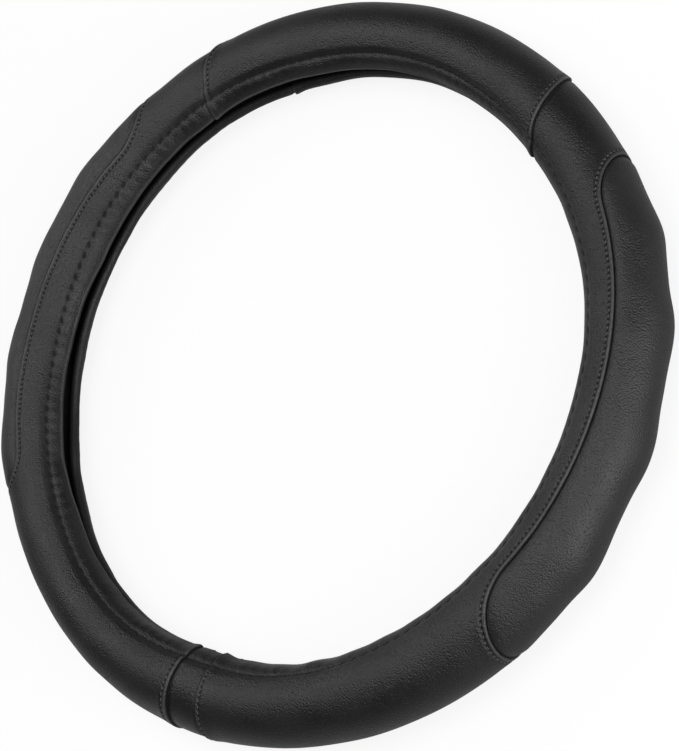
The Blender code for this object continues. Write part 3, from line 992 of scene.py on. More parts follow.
    def hem_relief(self, along: Array, across: Array) -> Relief:
        """Relief of the hems: a valley with a pocket at each stitch, a puckered roll and the lip's ridge,
        with painted shade in the pockets, before the valley and inside the slot, and a painted highlight on
        the ridge.

        Args:
            along: Places along the leather.
            across: Places across the leather.

        Returns:
            The relief.
        """
        tube, sewing = self.tube, self.sewing
        side = np.where(across < 0.0, -1.0, 1.0)
        off_hem = np.abs(across) - tube.hem
        past_lip = np.abs(across) - tube.lip
        step = along / tube.gather_along
        run = (step - np.round(step)) * tube.hem_from_lip
        slant = sewing.pocket_slant
        lengthways = run * math.cos(slant) + off_hem * math.sin(slant)
        sideways = -run * math.sin(slant) + (off_hem + sewing.pocket_from_hem) * math.cos(slant)
        pocket = np.exp(-((lengthways / (sewing.pocket_length / 2)) ** 4))
        pocket *= bell(sideways, sewing.pocket_width / 2)
        valley = bell(off_hem, np.where(off_hem < 0.0, sewing.valley_width, sewing.valley_width_at_lip))
        swell = bell(off_hem - sewing.swell_place, sewing.swell_width)
        off_roll = off_hem - sewing.roll_place
        roll = bell(off_roll, np.where(off_roll < 0.0, sewing.roll_spread, sewing.roll_spread_at_lip))
        gathering = GATHERING.at(np.degrees(along / tube.ring_radius))
        gathering = gathering * np.where(across < 0.0, sewing.back_gathering, 1.0)
        swing = np.cos(2.0 * math.pi * step)
        uneven = 1.0 + sewing.gather_unevenness * ripples(along, UNEVEN_GATHERS, self.seed + 1)
        gathered = np.sin(np.clip(off_hem / sewing.pucker_fade, 0.0, 1.0) * math.pi)
        outer = np.exp(-np.maximum(-off_hem, 0.0) / sewing.outer_pucker_reach)
        outer *= (1.0 - bell(off_hem, sewing.outer_pucker_start)) * (off_hem < 0.0)
        puckers = -swing * uneven * (sewing.pucker_rise * gathered + sewing.outer_pucker_rise * outer)
        close = np.exp(-np.abs(off_hem) / sewing.wrinkle_reach)
        off_lip = smooth_step((tube.lip_end - np.abs(across)) / sewing.wrinkle_fade)
        fine = ripples(along + sewing.wrinkle_slant * side * off_hem, FINE_WRINKLES, self.seed + 2)
        wrinkles = sewing.wrinkle_rise * close * off_lip * fine
        bead = bell(past_lip - sewing.bead_place, sewing.bead_width)
        raised = sewing.swell_rise * swell + sewing.roll_rise * roll * uneven
        drawn = raised - sewing.valley_depth * valley + puckers
        height = drawn * gathering + wrinkles + sewing.bead_rise * bead - sewing.pocket_depth * pocket
        # Painted shade inside the slot past each lip, in the pockets and before the valley.
        slots = [smooth_step((past_lip - start) / width)
                 for start, width in (sewing.back_slot_shade, sewing.front_slot_shade)]
        inside = np.where(across < 0.0, *slots)
        before = valley * (off_hem < 0.0)
        sewn = sewing.pocket_shade * pocket + sewing.valley_shade * before * gathering
        crease = np.clip(sewn + sewing.slot_shade * inside, 0.0, 1.0)
        # Painted highlight on each lip's bead, stronger on the front lip.
        highlighted = np.where(across < 0.0, sewing.back_bead_highlight, sewing.front_bead_highlight)
        return Relief(height, crease, bead * highlighted)


def tucked_shade(distance: Array, sewing: Sewing) -> Array:
    """Painted shade in the crease beside an edge that lies under a lap."""
    return sewing.under_shade * bell(distance, sewing.under_shade_reach)


def lap_relief(distance: Array, rise: float, drop: float, sewing: Sewing) -> Relief:
    """Relief of a turned edge that laps over another piece: raised leather that rolls down at its edge, with
    painted shade at the very edge and a painted highlight along its crest.

    Args:
        distance: Distances from the edge.
        rise: How far the lap stands above the leather round it.
        drop: How far the rolled edge falls from the top of the lap.
        sewing: Sizes of the sewing.

    Returns:
        The relief.
    """
    inward = np.maximum(distance, 0.0)
    swell = rise * bell(np.maximum(inward - sewing.roll_width, 0.0), sewing.lap_reach)
    rolled = np.clip(1.0 - inward / sewing.roll_width, 0.0, 1.0)
    height = swell - drop * (1.0 - np.sqrt(1.0 - rolled**2))
    # Painted shade at the very edge, and painted highlight along the crest.
    shade = np.clip(1.0 - inward / sewing.edge_shade_width, 0.0, 1.0)
    crest = bell(inward - sewing.crest_place * sewing.roll_width, sewing.crest_width)
    return Relief(height, shade, crest)


def stitch_relief(off_line: Array, off_stitch: Array, sewing: Sewing) -> tuple[Array, Array]:
    """Relief of a line of stitches: the groove that the thread pulls in, and its needle holes.

    Args:
        off_line: Distances to the side of the line.
        off_stitch: Distances along it to the nearest needle hole.
        sewing: Sizes of the sewing.

    Returns:
        Depths below the leather, and the painted shade of its needle holes.
    """
    holes = bell(np.hypot(off_line, off_stitch), sewing.needle_width)
    depth = sewing.groove_depth * bell(off_line, sewing.groove_width) + sewing.needle_depth * holes
    return depth, np.clip(sewing.needle_shade * holes, 0.0, 1.0)


def insert_needles(tube: Tube, sewing: Sewing, insert: InsertShape) -> Array:
    """Needle holes round an insert, on the panel that laps over it.

    Args:
        tube: The tube that the leather is wrapped round.
        sewing: Sizes of the sewing.
        insert: The insert.

    Returns:
        One row of along and across for each hole.
    """
    return insert.loop(tube, sewing.piece_gap / 2.0 + sewing.stitch_inset, sewing.stitch_pitch)


@dataclass
class GripInsert:
    """An insert of duller leather that swells over its foam pad, with its edge under the panel's lap."""

    name: str
    tube: Tube
    sewing: Sewing
    shape: InsertShape
    thickness: float = 1.2
    edge_depth: float = 0.6
    shoulder: float = 4.5
    grid_pitch: float = 1.5
    outline_pitch: float = 1.2
    lining_pitch: float = 6.0
    crumple: float = 0.13
    edge_insets: tuple[float, ...] = (0.3, 0.65, 1.1, 1.6, 2.3)  # lines of places that follow the edge
    grid_clearance: float = 3.2
    lining_clearance: float = 1.5
    seed: int = 31

    def build(self, material: bpy.types.Material) -> bpy.types.Object:
        """Make the insert.

        Args:
            material: Finish of grip leather.

        Returns:
            The piece.
        """
        pattern = FlatPattern()
        gap = self.sewing.piece_gap / 2.0
        edge = self.shape.loop(self.tube, -gap, self.outline_pitch)
        pattern.outlines.append(pattern.add([tuple(place) for place in edge]))
        for inset in self.edge_insets:
            loop = self.shape.loop(self.tube, -gap - inset, self.outline_pitch)
            pattern.add([tuple(place) for place in loop])
        pattern.add(self.inside(self.grid_pitch, self.grid_clearance))
        places = np.array(pattern.places)
        height = self.height(places[:, 0], places[:, 1])
        # Painted shade beside the edge that lies under the panel's lap.
        crease = tucked_shade(self.depth_inside(places[:, 0], places[:, 1]), self.sewing)
        lining = np.array(self.inside(self.lining_pitch, self.lining_clearance))
        inner = -self.edge_depth - self.thickness / 2
        relief = Relief(height, crease, np.zeros_like(height))
        data = closed_shell(self.name, self.tube, pattern, relief, lining, inner)
        shade(data, material)
        return new_piece(f"{self.name}_leather", data, self.name)

    def depth_inside(self, along: Array, across: Array) -> Array:
        """Distances inwards from the insert's edge."""
        return np.maximum(-self.shape.distance(self.tube, along, across), 0.0)

    def inside(self, pitch: float, clearance: float) -> list[Place]:
        """Evenly spread places inside the insert.

        Args:
            pitch: Distance between them.
            clearance: Distance to the insert's edge.

        Returns:
            Along and across of each.
        """
        tube, shape = self.tube, self.shape
        low = (tube.along(shape.start), tube.across(shape.back_edge))
        high = (tube.along(shape.end), tube.across(max(shape.start_edge, shape.end_edge)))
        places = honeycomb(low, high, pitch)
        kept = self.depth_inside(places[:, 0], places[:, 1]) > clearance
        return [tuple(place) for place in places[kept]]

    def height(self, along: Array, across: Array) -> Array:
        """Heights of the insert's face.

        Args:
            along: Places along the leather.
            across: Places across the leather.

        Returns:
            Heights above the face of the smooth panels.
        """
        inward = self.depth_inside(along, across)
        shoulder = np.sin(np.clip(inward / self.shoulder, 0.0, 1.0) * math.pi / 2.0)
        padded = self.shape.grip_height(self.tube, along, across)
        uneven = waves(along, across, INSERT_CRUMPLES, self.seed) * self.crumple
        return -self.edge_depth + (padded + self.edge_depth) * shoulder + uneven * shoulder**2


@dataclass
class GripPad:
    """A foam pad between an insert and the rubber ring."""

    name: str
    tube: Tube
    shape: InsertShape
    inset: float = 6.0
    cover: float = 1.55
    seat: float = -1.4
    edge_thickness: float = 0.5
    pitch: float = 3.0
    fill: float = 0.85

    def build(self, material: bpy.types.Material) -> bpy.types.Object:
        """Make the pad.

        Args:
            material: Finish of foam.

        Returns:
            The piece.
        """
        tube, shape = self.tube, self.shape
        pattern = FlatPattern()
        edge = shape.loop(tube, -self.inset, self.pitch)
        pattern.outlines.append(pattern.add([tuple(place) for place in edge]))
        low = (tube.along(shape.start), tube.across(shape.back_edge))
        high = (tube.along(shape.end), tube.across(max(shape.start_edge, shape.end_edge)))
        spread = honeycomb(low, high, self.pitch)
        inward = -self.inset - shape.distance(tube, spread[:, 0], spread[:, 1])
        filling = [tuple(place) for place in spread[inward > self.pitch / 2]]
        pattern.add(filling)
        places = np.array(pattern.places)
        depth = np.maximum(-self.inset - shape.distance(tube, places[:, 0], places[:, 1]), 0.0)
        full = shape.grip_height(tube, places[:, 0], places[:, 1]) - self.cover
        low_edge = self.seat + self.edge_thickness
        height = low_edge + (full - low_edge) * np.sin(np.clip(depth / self.inset, 0.0, 1.0) * math.pi / 2.0)
        plain = np.zeros_like(height)
        relief = Relief(height, plain, plain)
        data = closed_shell(self.name, tube, pattern, relief, np.array(filling), self.seat)
        shade(data, material)
        piece = new_piece(f"{self.name}_foam", data, self.name)
        return piece


@dataclass
class RubberRing:
    """The split ring of rubber that the leather is sewn over, open towards the wheel's axis."""

    name: str
    tube: Tube
    outer: float = 17.4
    wall: float = 2.3
    end_gap: float = 0.6
    rib_pitch: float = 4.0
    rib_depth: float = 0.35
    section_steps: int = 56
    turns: int = 300

    def build(self, material: bpy.types.Material) -> bpy.types.Object:
        """Make the ring, with fine ribs inside that grip the wheel's rim.

        Args:
            material: Finish of rubber.

        Returns:
            The piece.
        """
        tube = self.tube
        inner = self.outer - self.wall
        limit = tube.lip_angle - self.end_gap / inner
        outside = np.linspace(limit, -limit, self.section_steps)
        inside = np.linspace(-limit, limit, self.section_steps * 2)
        ribs = self.rib_depth * 0.5 * (1.0 - np.cos(2.0 * math.pi * inside * inner / self.rib_pitch))
        reach = np.concatenate([np.full(len(outside), self.outer), inner + ribs])
        angle = np.concatenate([outside, inside])
        around = np.repeat(np.arange(self.turns) * 2.0 * math.pi / self.turns, len(angle))
        across = np.tile(angle * tube.radius, self.turns)
        height = np.tile(reach - tube.radius, self.turns)
        vertices = tube.wrapped(around * tube.ring_radius, across, height)
        faces = []
        for here in range(self.turns):
            ahead = (here + 1) % self.turns
            for step in range(len(angle)):
                onward = (step + 1) % len(angle)
                base, next_base = here * len(angle), ahead * len(angle)
                faces.append([base + step, base + onward, next_base + onward, next_base + step])
        data = bpy.data.meshes.new(self.name)
        data.from_pydata(vertices.tolist(), [], faces)
        shade(data, material)
        return new_piece(f"{self.name}_rubber", data, self.name)


class NodeSheet:
    """A node tree that is filled step by step."""

    def __init__(self, tree: bpy.types.NodeTree) -> None:
        """Take a tree to fill."""
        self.tree = tree

    def add(self, kind: str, inputs: dict[str | int, object] | None = None,
            **settings: object) -> bpy.types.Node:
        """Add a node.

        Args:
            kind: Blender's name of the kind of node.
            inputs: Outputs and plain values for its inputs, by their names or numbers.
            settings: Values of the node's own settings.

        Returns:
            The node.
        """
        node = self.tree.nodes.new(kind)
        for name, value in settings.items():
            setattr(node, name, value)
        self.fill(node, inputs or {})
        return node

    def fill(self, node: bpy.types.Node, inputs: dict[str | int, object]) -> None:
        """Join outputs to a node's inputs, or give the inputs plain values.

        Args:
            node: The node.
            inputs: Outputs and plain values, by the inputs' names or numbers. A colour is three numbers.
        """
        for name, value in inputs.items():
            socket = node.inputs[name]
            if isinstance(value, bpy.types.NodeSocket):
                self.tree.links.new(value, socket)
            else:
                socket.default_value = (*value, 1.0) if socket.type == "RGBA" else value

    def math(self, operation: str, *values: object) -> bpy.types.NodeSocket:
        """Add a sum of numbers or outputs, and return its output."""
        return self.add("ShaderNodeMath", dict(enumerate(values)), operation=operation).outputs[0]

    def vector(self, operation: str, *values: object) -> bpy.types.NodeSocket:
        """Add a sum of vectors or outputs, and return its output."""
        return self.add("ShaderNodeVectorMath", dict(enumerate(values)), operation=operation).outputs[0]

    def scaled(self, vector: object, scale: object) -> bpy.types.NodeSocket:
        """Add the scaling of a vector by a number or output, and return its output."""
        inputs = {0: vector, "Scale": scale}
        return self.add("ShaderNodeVectorMath", inputs, operation="SCALE").outputs[0]


class StitchTree:
    """Geometry Nodes tree that lays a short arched bit of thread over each run between two needle holes."""

    NUMBERS = ("Thread Radius", "Arch", "Share Shown", "Slant", "Unevenness", "Ring Radius", "Ring Height")
    SEED = 11
    SUNK = -1.6  # height of a bit's ends, in radii of the thread
    ARCH_STEPS = 5
    ROUND_STEPS = 6

    def __init__(self) -> None:
        """Build the tree."""
        tree = bpy.data.node_groups.new("thread_stitches", "GeometryNodeTree")
        face = tree.interface
        face.new_socket("Geometry", in_out="INPUT", socket_type="NodeSocketGeometry")
        for name in self.NUMBERS:
            face.new_socket(name, in_out="INPUT", socket_type="NodeSocketFloat")
        face.new_socket("Thread", in_out="INPUT", socket_type="NodeSocketMaterial")
        face.new_socket("Geometry", in_out="OUTPUT", socket_type="NodeSocketGeometry")
        self.tree = tree
        self.sheet = NodeSheet(tree)
        self.given = self.sheet.add("NodeGroupInput").outputs
        self.add_nodes()

    def add_nodes(self) -> None:
        """Add the tree's nodes."""
        sheet, given = self.sheet, self.given
        ends = sheet.add("GeometryNodeInputMeshEdgeVertices").outputs
        run = sheet.vector("SUBTRACT", ends["Position 2"], ends["Position 1"])
        kept = sheet.add("GeometryNodeCaptureAttribute", domain="EDGE")
        kept.capture_items.new("VECTOR", "Run")
        sheet.fill(kept, {"Geometry": given["Geometry"], "Run": run})
        points = sheet.add("GeometryNodeMeshToPoints", {"Mesh": kept.outputs["Geometry"]}, mode="EDGES")
        length = sheet.add("ShaderNodeVectorMath", {0: kept.outputs["Run"]}, operation="LENGTH")
        shown = sheet.math("MULTIPLY", length.outputs["Value"], given["Share Shown"])
        laid = sheet.add("GeometryNodeInstanceOnPoints", {
            "Points": points.outputs["Points"],
            "Instance": self.thread_bit(),
            "Rotation": self.rotation(kept.outputs["Run"]),
            "Scale": sheet.add("ShaderNodeCombineXYZ", {"X": shown, "Y": 1.0, "Z": 1.0}).outputs[0],
        })
        real = sheet.add("GeometryNodeRealizeInstances", {"Geometry": laid.outputs["Instances"]})
        dressed = {"Geometry": real.outputs["Geometry"], "Material": given["Thread"]}
        finished = sheet.add("GeometryNodeSetMaterial", dressed)
        sheet.add("NodeGroupOutput", {"Geometry": finished.outputs["Geometry"]})

    def thread_bit(self) -> bpy.types.NodeSocket:
        """Add an arched bit of thread one metre long, which each instance shortens to its run.

        Returns:
            The bit.
        """
        sheet, given = self.sheet, self.given
        sunk = sheet.math("MULTIPLY", given["Thread Radius"], self.SUNK)
        arch = sheet.add("GeometryNodeCurveQuadraticBezier", {"Resolution": self.ARCH_STEPS})
        for name, place, rise in (("Start", -0.5, sunk), ("Middle", 0.0, given["Arch"]), ("End", 0.5, sunk)):
            point = sheet.add("ShaderNodeCombineXYZ", {"X": place, "Z": rise})
            sheet.fill(arch, {name: point.outputs[0]})
        radius = {"Resolution": self.ROUND_STEPS, "Radius": given["Thread Radius"]}
        circle = sheet.add("GeometryNodeCurvePrimitiveCircle", radius, mode="RADIUS")
        curves = {"Curve": arch.outputs["Curve"], "Profile Curve": circle.outputs["Curve"], "Fill Caps": True}
        swept = sheet.add("GeometryNodeCurveToMesh", curves)
        smooth = sheet.add("GeometryNodeSetShadeSmooth", {"Geometry": swept.outputs["Mesh"]})
        return smooth.outputs["Geometry"]

    def rotation(self, run: bpy.types.NodeSocket) -> bpy.types.NodeSocket:
        """Add the turn of each bit: along its run, flat on the tube, with a slant and a little unevenness.

        Args:
            run: Vector from one needle hole to the next.

        Returns:
            The rotation.
        """
        sheet, given = self.sheet, self.given
        place = sheet.add("GeometryNodeInputPosition").outputs[0]
        heading = sheet.vector("NORMALIZE", sheet.vector("MULTIPLY", place, (1.0, 1.0, 0.0)))
        lift = sheet.add("ShaderNodeCombineXYZ", {"Z": given["Ring Height"]}).outputs[0]
        middle = sheet.vector("ADD", sheet.scaled(heading, given["Ring Radius"]), lift)
        facing = {0: sheet.vector("SUBTRACT", place, middle), 1: run}
        flat = sheet.add("FunctionNodeAxesToRotation", facing, primary_axis="Z", secondary_axis="X")
        draw = sheet.add("FunctionNodeRandomValue", {"Seed": self.SEED}, data_type="FLOAT")
        shown = enumerate(draw.inputs)
        least, most = [number for number, socket in shown if socket.type == "VALUE" and socket.enabled]
        spread = given["Unevenness"]
        sheet.fill(draw, {least: sheet.math("MULTIPLY", spread, -1.0), most: spread})
        drawn = [socket for socket in draw.outputs if socket.enabled][0]
        turn = sheet.add("ShaderNodeCombineXYZ", {"Z": sheet.math("ADD", given["Slant"], drawn)})
        slant = sheet.add("FunctionNodeEulerToRotation", {0: turn.outputs[0]})
        turns = {0: flat.outputs[0], 1: slant.outputs[0]}
        return sheet.add("FunctionNodeRotateRotation", turns, rotation_space="LOCAL").outputs[0]


@dataclass
class StitchRow:
    """A row of stitches: thread that shows between pairs of needle holes."""

    name: str
    tube: Tube
    thread_radius: float = 0.33
    arch: float = 0.95
    share_shown: float = 0.64
    slant: float = 0.0
    unevenness: float = 0.07

    def build(self, holes: Array, is_closed: bool, tree: StitchTree, material: bpy.types.Material,
              in_pairs: bool = False) -> bpy.types.Object:
        """Make the row.

        Args:
            holes: Places in space of the needle holes, in metres.
            is_closed: Whether thread runs from the last hole back to the first.
            tree: The stitches' tree.
            material: Finish of thread.
            in_pairs: Whether thread shows only over every other run, as at a hem.

        Returns:
            The piece.
        """
        count = len(holes)
        step = 2 if in_pairs else 1
        runs = [(here, here + 1) for here in range(0, count - 1, step)]
        if is_closed:
            runs.append((count - 1, 0))
        data = bpy.data.meshes.new(self.name)
        data.from_pydata(holes.tolist(), runs, [])
        base = bpy.data.objects.new(f"{self.name}_holes", data)
        bpy.context.scene.collection.objects.link(base)
        sewn = base.modifiers.new("stitches", "NODES")
        sewn.node_group = tree.tree
        values = {
            "Thread Radius": self.thread_radius * MM,
            "Arch": self.arch * MM,
            "Share Shown": self.share_shown,
            "Slant": self.slant,
            "Unevenness": self.unevenness,
            "Ring Radius": self.tube.ring_radius * MM,
            "Ring Height": self.tube.centre_height * MM,
            "Thread": material,
        }
        for socket in tree.tree.interface.items_tree:
            if socket.in_out == "INPUT" and socket.name in values:
                sewn[socket.identifier] = values[socket.name]
        evaluated = base.evaluated_get(bpy.context.evaluated_depsgraph_get())
        thread = bpy.data.meshes.new_from_object(evaluated)
        bpy.data.objects.remove(base)
        thread.name = self.name
        return new_piece(f"{self.name}_stitches", thread, self.name)


@dataclass
class CoverThreads:
    """All the rows of stitches on the cover."""

    tube: Tube
    sewing: Sewing
    tree: StitchTree
    material: bpy.types.Material
    lift: float = -0.1  # of the threads' runs over the face of the leather

    def seam(self, name: str, panel: LeatherPanel, at_start: bool) -> None:
        """Stitches beside one of a panel's lapped ends, from hem to hem.

        Args:
            name: Name of the thread's solid.
            panel: The panel that laps over.
            at_start: Whether they run beside its start.
        """
        pitch = self.sewing.stitch_pitch
        last = math.floor((self.tube.hem - self.sewing.seam_clear_of_hem) / pitch - 0.5)
        across = np.arange(-last, last) * pitch
        start, end = panel.ends(across)
        along = start + panel.start_inset if at_start else end - panel.end_inset
        self.row(name, panel, along, across, False)

    def insert(self, name: str, panel: LeatherPanel) -> None:
        """Stitches round a panel's hole for its insert.

        Args:
            name: Name of the thread's solid.
            panel: The panel.
        """
        needles = insert_needles(self.tube, self.sewing, panel.insert)
        self.row(name, panel, needles[:, 0], needles[:, 1], True)

    def row(self, name: str, panel: LeatherPanel, along: Array, across: Array, is_closed: bool) -> None:
        """A row of stitches through needle holes of a panel.

        Args:
            name: Name of the thread's solid.
            panel: The panel.
            along: Places of the holes along the leather.
            across: Places of the holes across the leather.
            is_closed: Whether thread runs from the last hole back to the first.
        """
        height = panel.relief(along, across).height + self.sewing.needle_depth + self.lift
        holes = self.tube.wrapped(along, across, height)
        StitchRow(name, self.tube).build(holes, is_closed, self.tree, self.material)

    def hem(self, name: str, side: HemSide) -> None:
        """Stitches in the pockets of a hem, all round the wheel.

        Args:
            name: Name of the thread's solid.
            side: The lip that the hem runs beside.
        """
        tube, sewing = self.tube, self.sewing
        middles = np.arange(tube.gather_count) * tube.gather_along
        half = sewing.pocket_length * 0.5
        lean = math.cos(sewing.pocket_slant) * half * tube.gather_along / tube.hem_from_lip
        rise = math.sin(sewing.pocket_slant) * half
        along = np.stack([middles - lean, middles + lean], axis=-1).ravel()
        off = np.stack([np.full(len(middles), -rise), np.full(len(middles), rise)], axis=-1).ravel()
        across = side.value * (tube.hem + off)
        gathering = GATHERING.at(np.degrees(along / tube.ring_radius))
        gathering = gathering * (sewing.back_gathering if side is HemSide.BACK else 1.0)
        hidden = HEM_THREAD_DEPTH.at(np.degrees(along / tube.ring_radius))
        depth = -sewing.valley_depth * gathering - sewing.pocket_depth - hidden
        holes = tube.wrapped(along, across, depth)
        row = StitchRow(name, tube, thread_radius=0.26, arch=0.3, share_shown=0.6, unevenness=0.05)
        row.build(holes, False, self.tree, self.material, in_pairs=True)


class Finishes:
    """Shader node groups that more than one finish of the cover uses."""

    DRIFT_CELLS = 0.3  # size of the grain's drift, against its cells
    CELL_SMOOTHNESS = 0.16
    DOME_SHARE = 0.7  # of the grain's height
    FINE_SHARE = 0.3
    MARK_RANGE = (0.35, 0.68)
    # patchiness of the painted highlight on crests
    PATCH_CONTRAST = 0.9
    LEAST_HIGHLIGHT = 0.45

    def __init__(self) -> None:
        """Build the groups."""
        self.grain = self.pebbled_grain()
        self.wear = self.handling_marks()
        self.shadow = self.crease_shadow()
        self.highlighted = self.painted_crest_highlight()

    @staticmethod
    def group(name: str, output: str, **inputs: float) -> tuple[NodeSheet, bpy.types.NodeOutputs]:
        """Start a node group with number inputs and one number output.

        Args:
            name: Its name.
            output: Name of its output.
            inputs: The usual values of its inputs.

        Returns:
            The group's sheet, and the outputs that give its inputs.
        """
        tree = bpy.data.node_groups.new(name, "ShaderNodeTree")
        for label, value in inputs.items():
            socket = tree.interface.new_socket(label, in_out="INPUT", socket_type="NodeSocketFloat")
            socket.default_value = value
        tree.interface.new_socket(output, in_out="OUTPUT", socket_type="NodeSocketFloat")
        sheet = NodeSheet(tree)
        return sheet, sheet.add("NodeGroupInput").outputs

    def pebbled_grain(self) -> bpy.types.NodeTree:
        """Group with the height of a fine pebbled grain, in cells of a given number to the metre."""
        sheet, given = self.group("pebbled_grain", "Height", Cells=1100.0, Fineness=3.1, Drift=0.35)
        place = sheet.add("ShaderNodeTexCoord").outputs["Object"]
        broad = sheet.math("MULTIPLY", given["Cells"], self.DRIFT_CELLS)
        drift = sheet.add("ShaderNodeTexNoise", {"Vector": place, "Scale": broad, "Detail": 1.0})
        celled = sheet.scaled(place, given["Cells"])
        spread = sheet.vector("ADD", celled, sheet.scaled(drift.outputs["Color"], given["Drift"]))
        cell = {"Vector": spread, "Scale": 1.0, "Smoothness": self.CELL_SMOOTHNESS}
        far = sheet.add("ShaderNodeTexVoronoi", cell, feature="SMOOTH_F1").outputs["Distance"]
        dome = sheet.math("SUBTRACT", 1.0, sheet.math("MULTIPLY", far, far))
        closer = sheet.scaled(celled, given["Fineness"])
        fine = sheet.add("ShaderNodeTexNoise", {"Vector": closer, "Scale": 1.0, "Detail": 3.0})
        domes = sheet.math("MULTIPLY", dome, self.DOME_SHARE)
        height = sheet.math("ADD", domes, sheet.math("MULTIPLY", fine.outputs["Fac"], self.FINE_SHARE))
        sheet.add("NodeGroupOutput", {"Height": height})
        return sheet.tree

    def handling_marks(self) -> bpy.types.NodeTree:
        """Group with broad, soft marks of handling, from 0 to 1."""
        sheet, given = self.group("handling_marks", "Mark", Marks=28.0)
        place = sheet.add("ShaderNodeTexCoord").outputs["Object"]
        marks = {"Vector": place, "Scale": given["Marks"], "Detail": 4.0, "Roughness": 0.55}
        broad = sheet.add("ShaderNodeTexNoise", marks).outputs["Fac"]
        low, high = self.MARK_RANGE
        limits = {"Value": broad, "From Min": low, "From Max": high}
        eased = sheet.add("ShaderNodeMapRange", limits, interpolation_type="SMOOTHSTEP")
        sheet.add("NodeGroupOutput", {"Mark": eased.outputs["Result"]})
        return sheet.tree

    def crease_shadow(self) -> bpy.types.NodeTree:
        """Group with the painted shade, and the dullness, of creases, needle holes and the slot, from the
        leather's attribute.
        """
        sheet, given = self.group("crease_shadow", "Shadow", Strength=1.0)
        depth = sheet.add("ShaderNodeAttribute", attribute_name=PAINTED_SHADE).outputs["Fac"]
        sheet.add("NodeGroupOutput", {"Shadow": sheet.math("MULTIPLY", depth, given["Strength"])})
        return sheet.tree

    def painted_crest_highlight(self) -> bpy.types.NodeTree:
        """Group with the painted highlight along the crest of a turned edge, made patchy by noise, from the
        leather's attribute.
        """
        sheet, given = self.group("painted_crest_highlight", "Highlight", Strength=0.8, Patches=420.0)
        crest = sheet.add("ShaderNodeAttribute", attribute_name=PAINTED_HIGHLIGHT).outputs["Fac"]
        place = sheet.add("ShaderNodeTexCoord").outputs["Object"]
        patches = sheet.add("ShaderNodeTexNoise", {"Vector": place, "Scale": given["Patches"]})
        patchy = sheet.math("MULTIPLY", patches.outputs["Fac"], self.PATCH_CONTRAST)
        uneven = sheet.math("ADD", patchy, self.LEAST_HIGHLIGHT)
        strength = sheet.math("MULTIPLY", uneven, given["Strength"])
        rim = sheet.math("MINIMUM", sheet.math("MULTIPLY", crest, strength), 1.0)
        sheet.add("NodeGroupOutput", {"Highlight": rim})
        return sheet.tree


@dataclass(frozen=True)
class LeatherFinish:
    """Black leather with a fine pebbled grain. Colours are as the renderer takes them."""

    name: str
    colour: tuple[float, float, float]
    mark_colour: tuple[float, float, float]
    # painted shade in creases, and painted highlight on the crests of turned edges
    crease_shade_colour: tuple[float, float, float] = (0.0012, 0.0012, 0.0013)
    highlight_colour: tuple[float, float, float] = (0.06, 0.06, 0.061)
    smoothest: float = 0.34
    roughest: float = 0.46
    crease_dullness: float = 0.4
    marks: float = 31.0
    cells: float = 1250.0
    grain_depth: float = 0.3
    specular: float = 0.42

    def material(self, finishes: Finishes) -> bpy.types.Material:
        """Make the finish's material.

        Args:
            finishes: The shared node groups.

        Returns:
            The material.
        """
        material, sheet, shader = new_material(self.name)
        mark = placed_group(sheet, finishes.wear, Marks=self.marks).outputs["Mark"]
        shadow = placed_group(sheet, finishes.shadow).outputs["Shadow"]
        grain = placed_group(sheet, finishes.grain, Cells=self.cells).outputs["Height"]
        rim = placed_group(sheet, finishes.highlighted).outputs["Highlight"]
        tinted = mixed_colour(sheet, mark, self.colour, self.mark_colour)
        # Lighten towards the painted highlight on crests, then darken towards the painted shade in creases.
        highlighted = mixed_colour(sheet, rim, tinted, self.highlight_colour)
        darkened = mixed_colour(sheet, shadow, highlighted, self.crease_shade_colour)
        rough = {"Value": mark, "To Min": self.smoothest, "To Max": self.roughest}
        plain = sheet.add("ShaderNodeMapRange", rough).outputs["Result"]
        dull = {"Value": shadow, "To Max": self.crease_dullness}
        duller = sheet.add("ShaderNodeMapRange", dull).outputs["Result"]
        sheet.fill(shader, {
            "Base Color": darkened,
            "Roughness": sheet.math("ADD", plain, duller),
            "Specular IOR Level": self.specular,
            "Normal": bump(sheet, grain, self.grain_depth),
        })
        return material


@dataclass(frozen=True)
class MatteFinish:
    """A matte black finish with a fine surface: moulded rubber, foam or bonded thread."""

    name: str
    colour: tuple[float, float, float]
    mark_colour: tuple[float, float, float]
    roughness: float
    cells: float
    grain_depth: float
    marks: float = 60.0
    specular: float = 0.35

    def material(self, finishes: Finishes) -> bpy.types.Material:
        """Make the finish's material.

        Args:
            finishes: The shared node groups.

        Returns:
            The material.
        """
        material, sheet, shader = new_material(self.name)
        mark = placed_group(sheet, finishes.wear, Marks=self.marks).outputs["Mark"]
        grain = placed_group(sheet, finishes.grain, Cells=self.cells).outputs["Height"]
        sheet.fill(shader, {
            "Base Color": mixed_colour(sheet, mark, self.colour, self.mark_colour),
            "Roughness": self.roughness,
            "Specular IOR Level": self.specular,
            "Normal": bump(sheet, grain, self.grain_depth),
        })
        return material


def new_material(name: str) -> tuple[bpy.types.Material, NodeSheet, bpy.types.Node]:
    """Start a material.

    Args:
        name: Its name.

    Returns:
        The material, its sheet of nodes and its main shader.
    """
    material = bpy.data.materials.new(name)
    material.use_nodes = True
    return material, NodeSheet(material.node_tree), material.node_tree.nodes["Principled BSDF"]


def placed_group(sheet: NodeSheet, group: bpy.types.NodeTree, **values: float) -> bpy.types.Node:
    """Place a shared node group.

    Args:
        sheet: The material's sheet.
        group: The group.
        values: Values of its inputs here.

    Returns:
        The placed node.
    """
    return sheet.add("ShaderNodeGroup", values, node_tree=group)


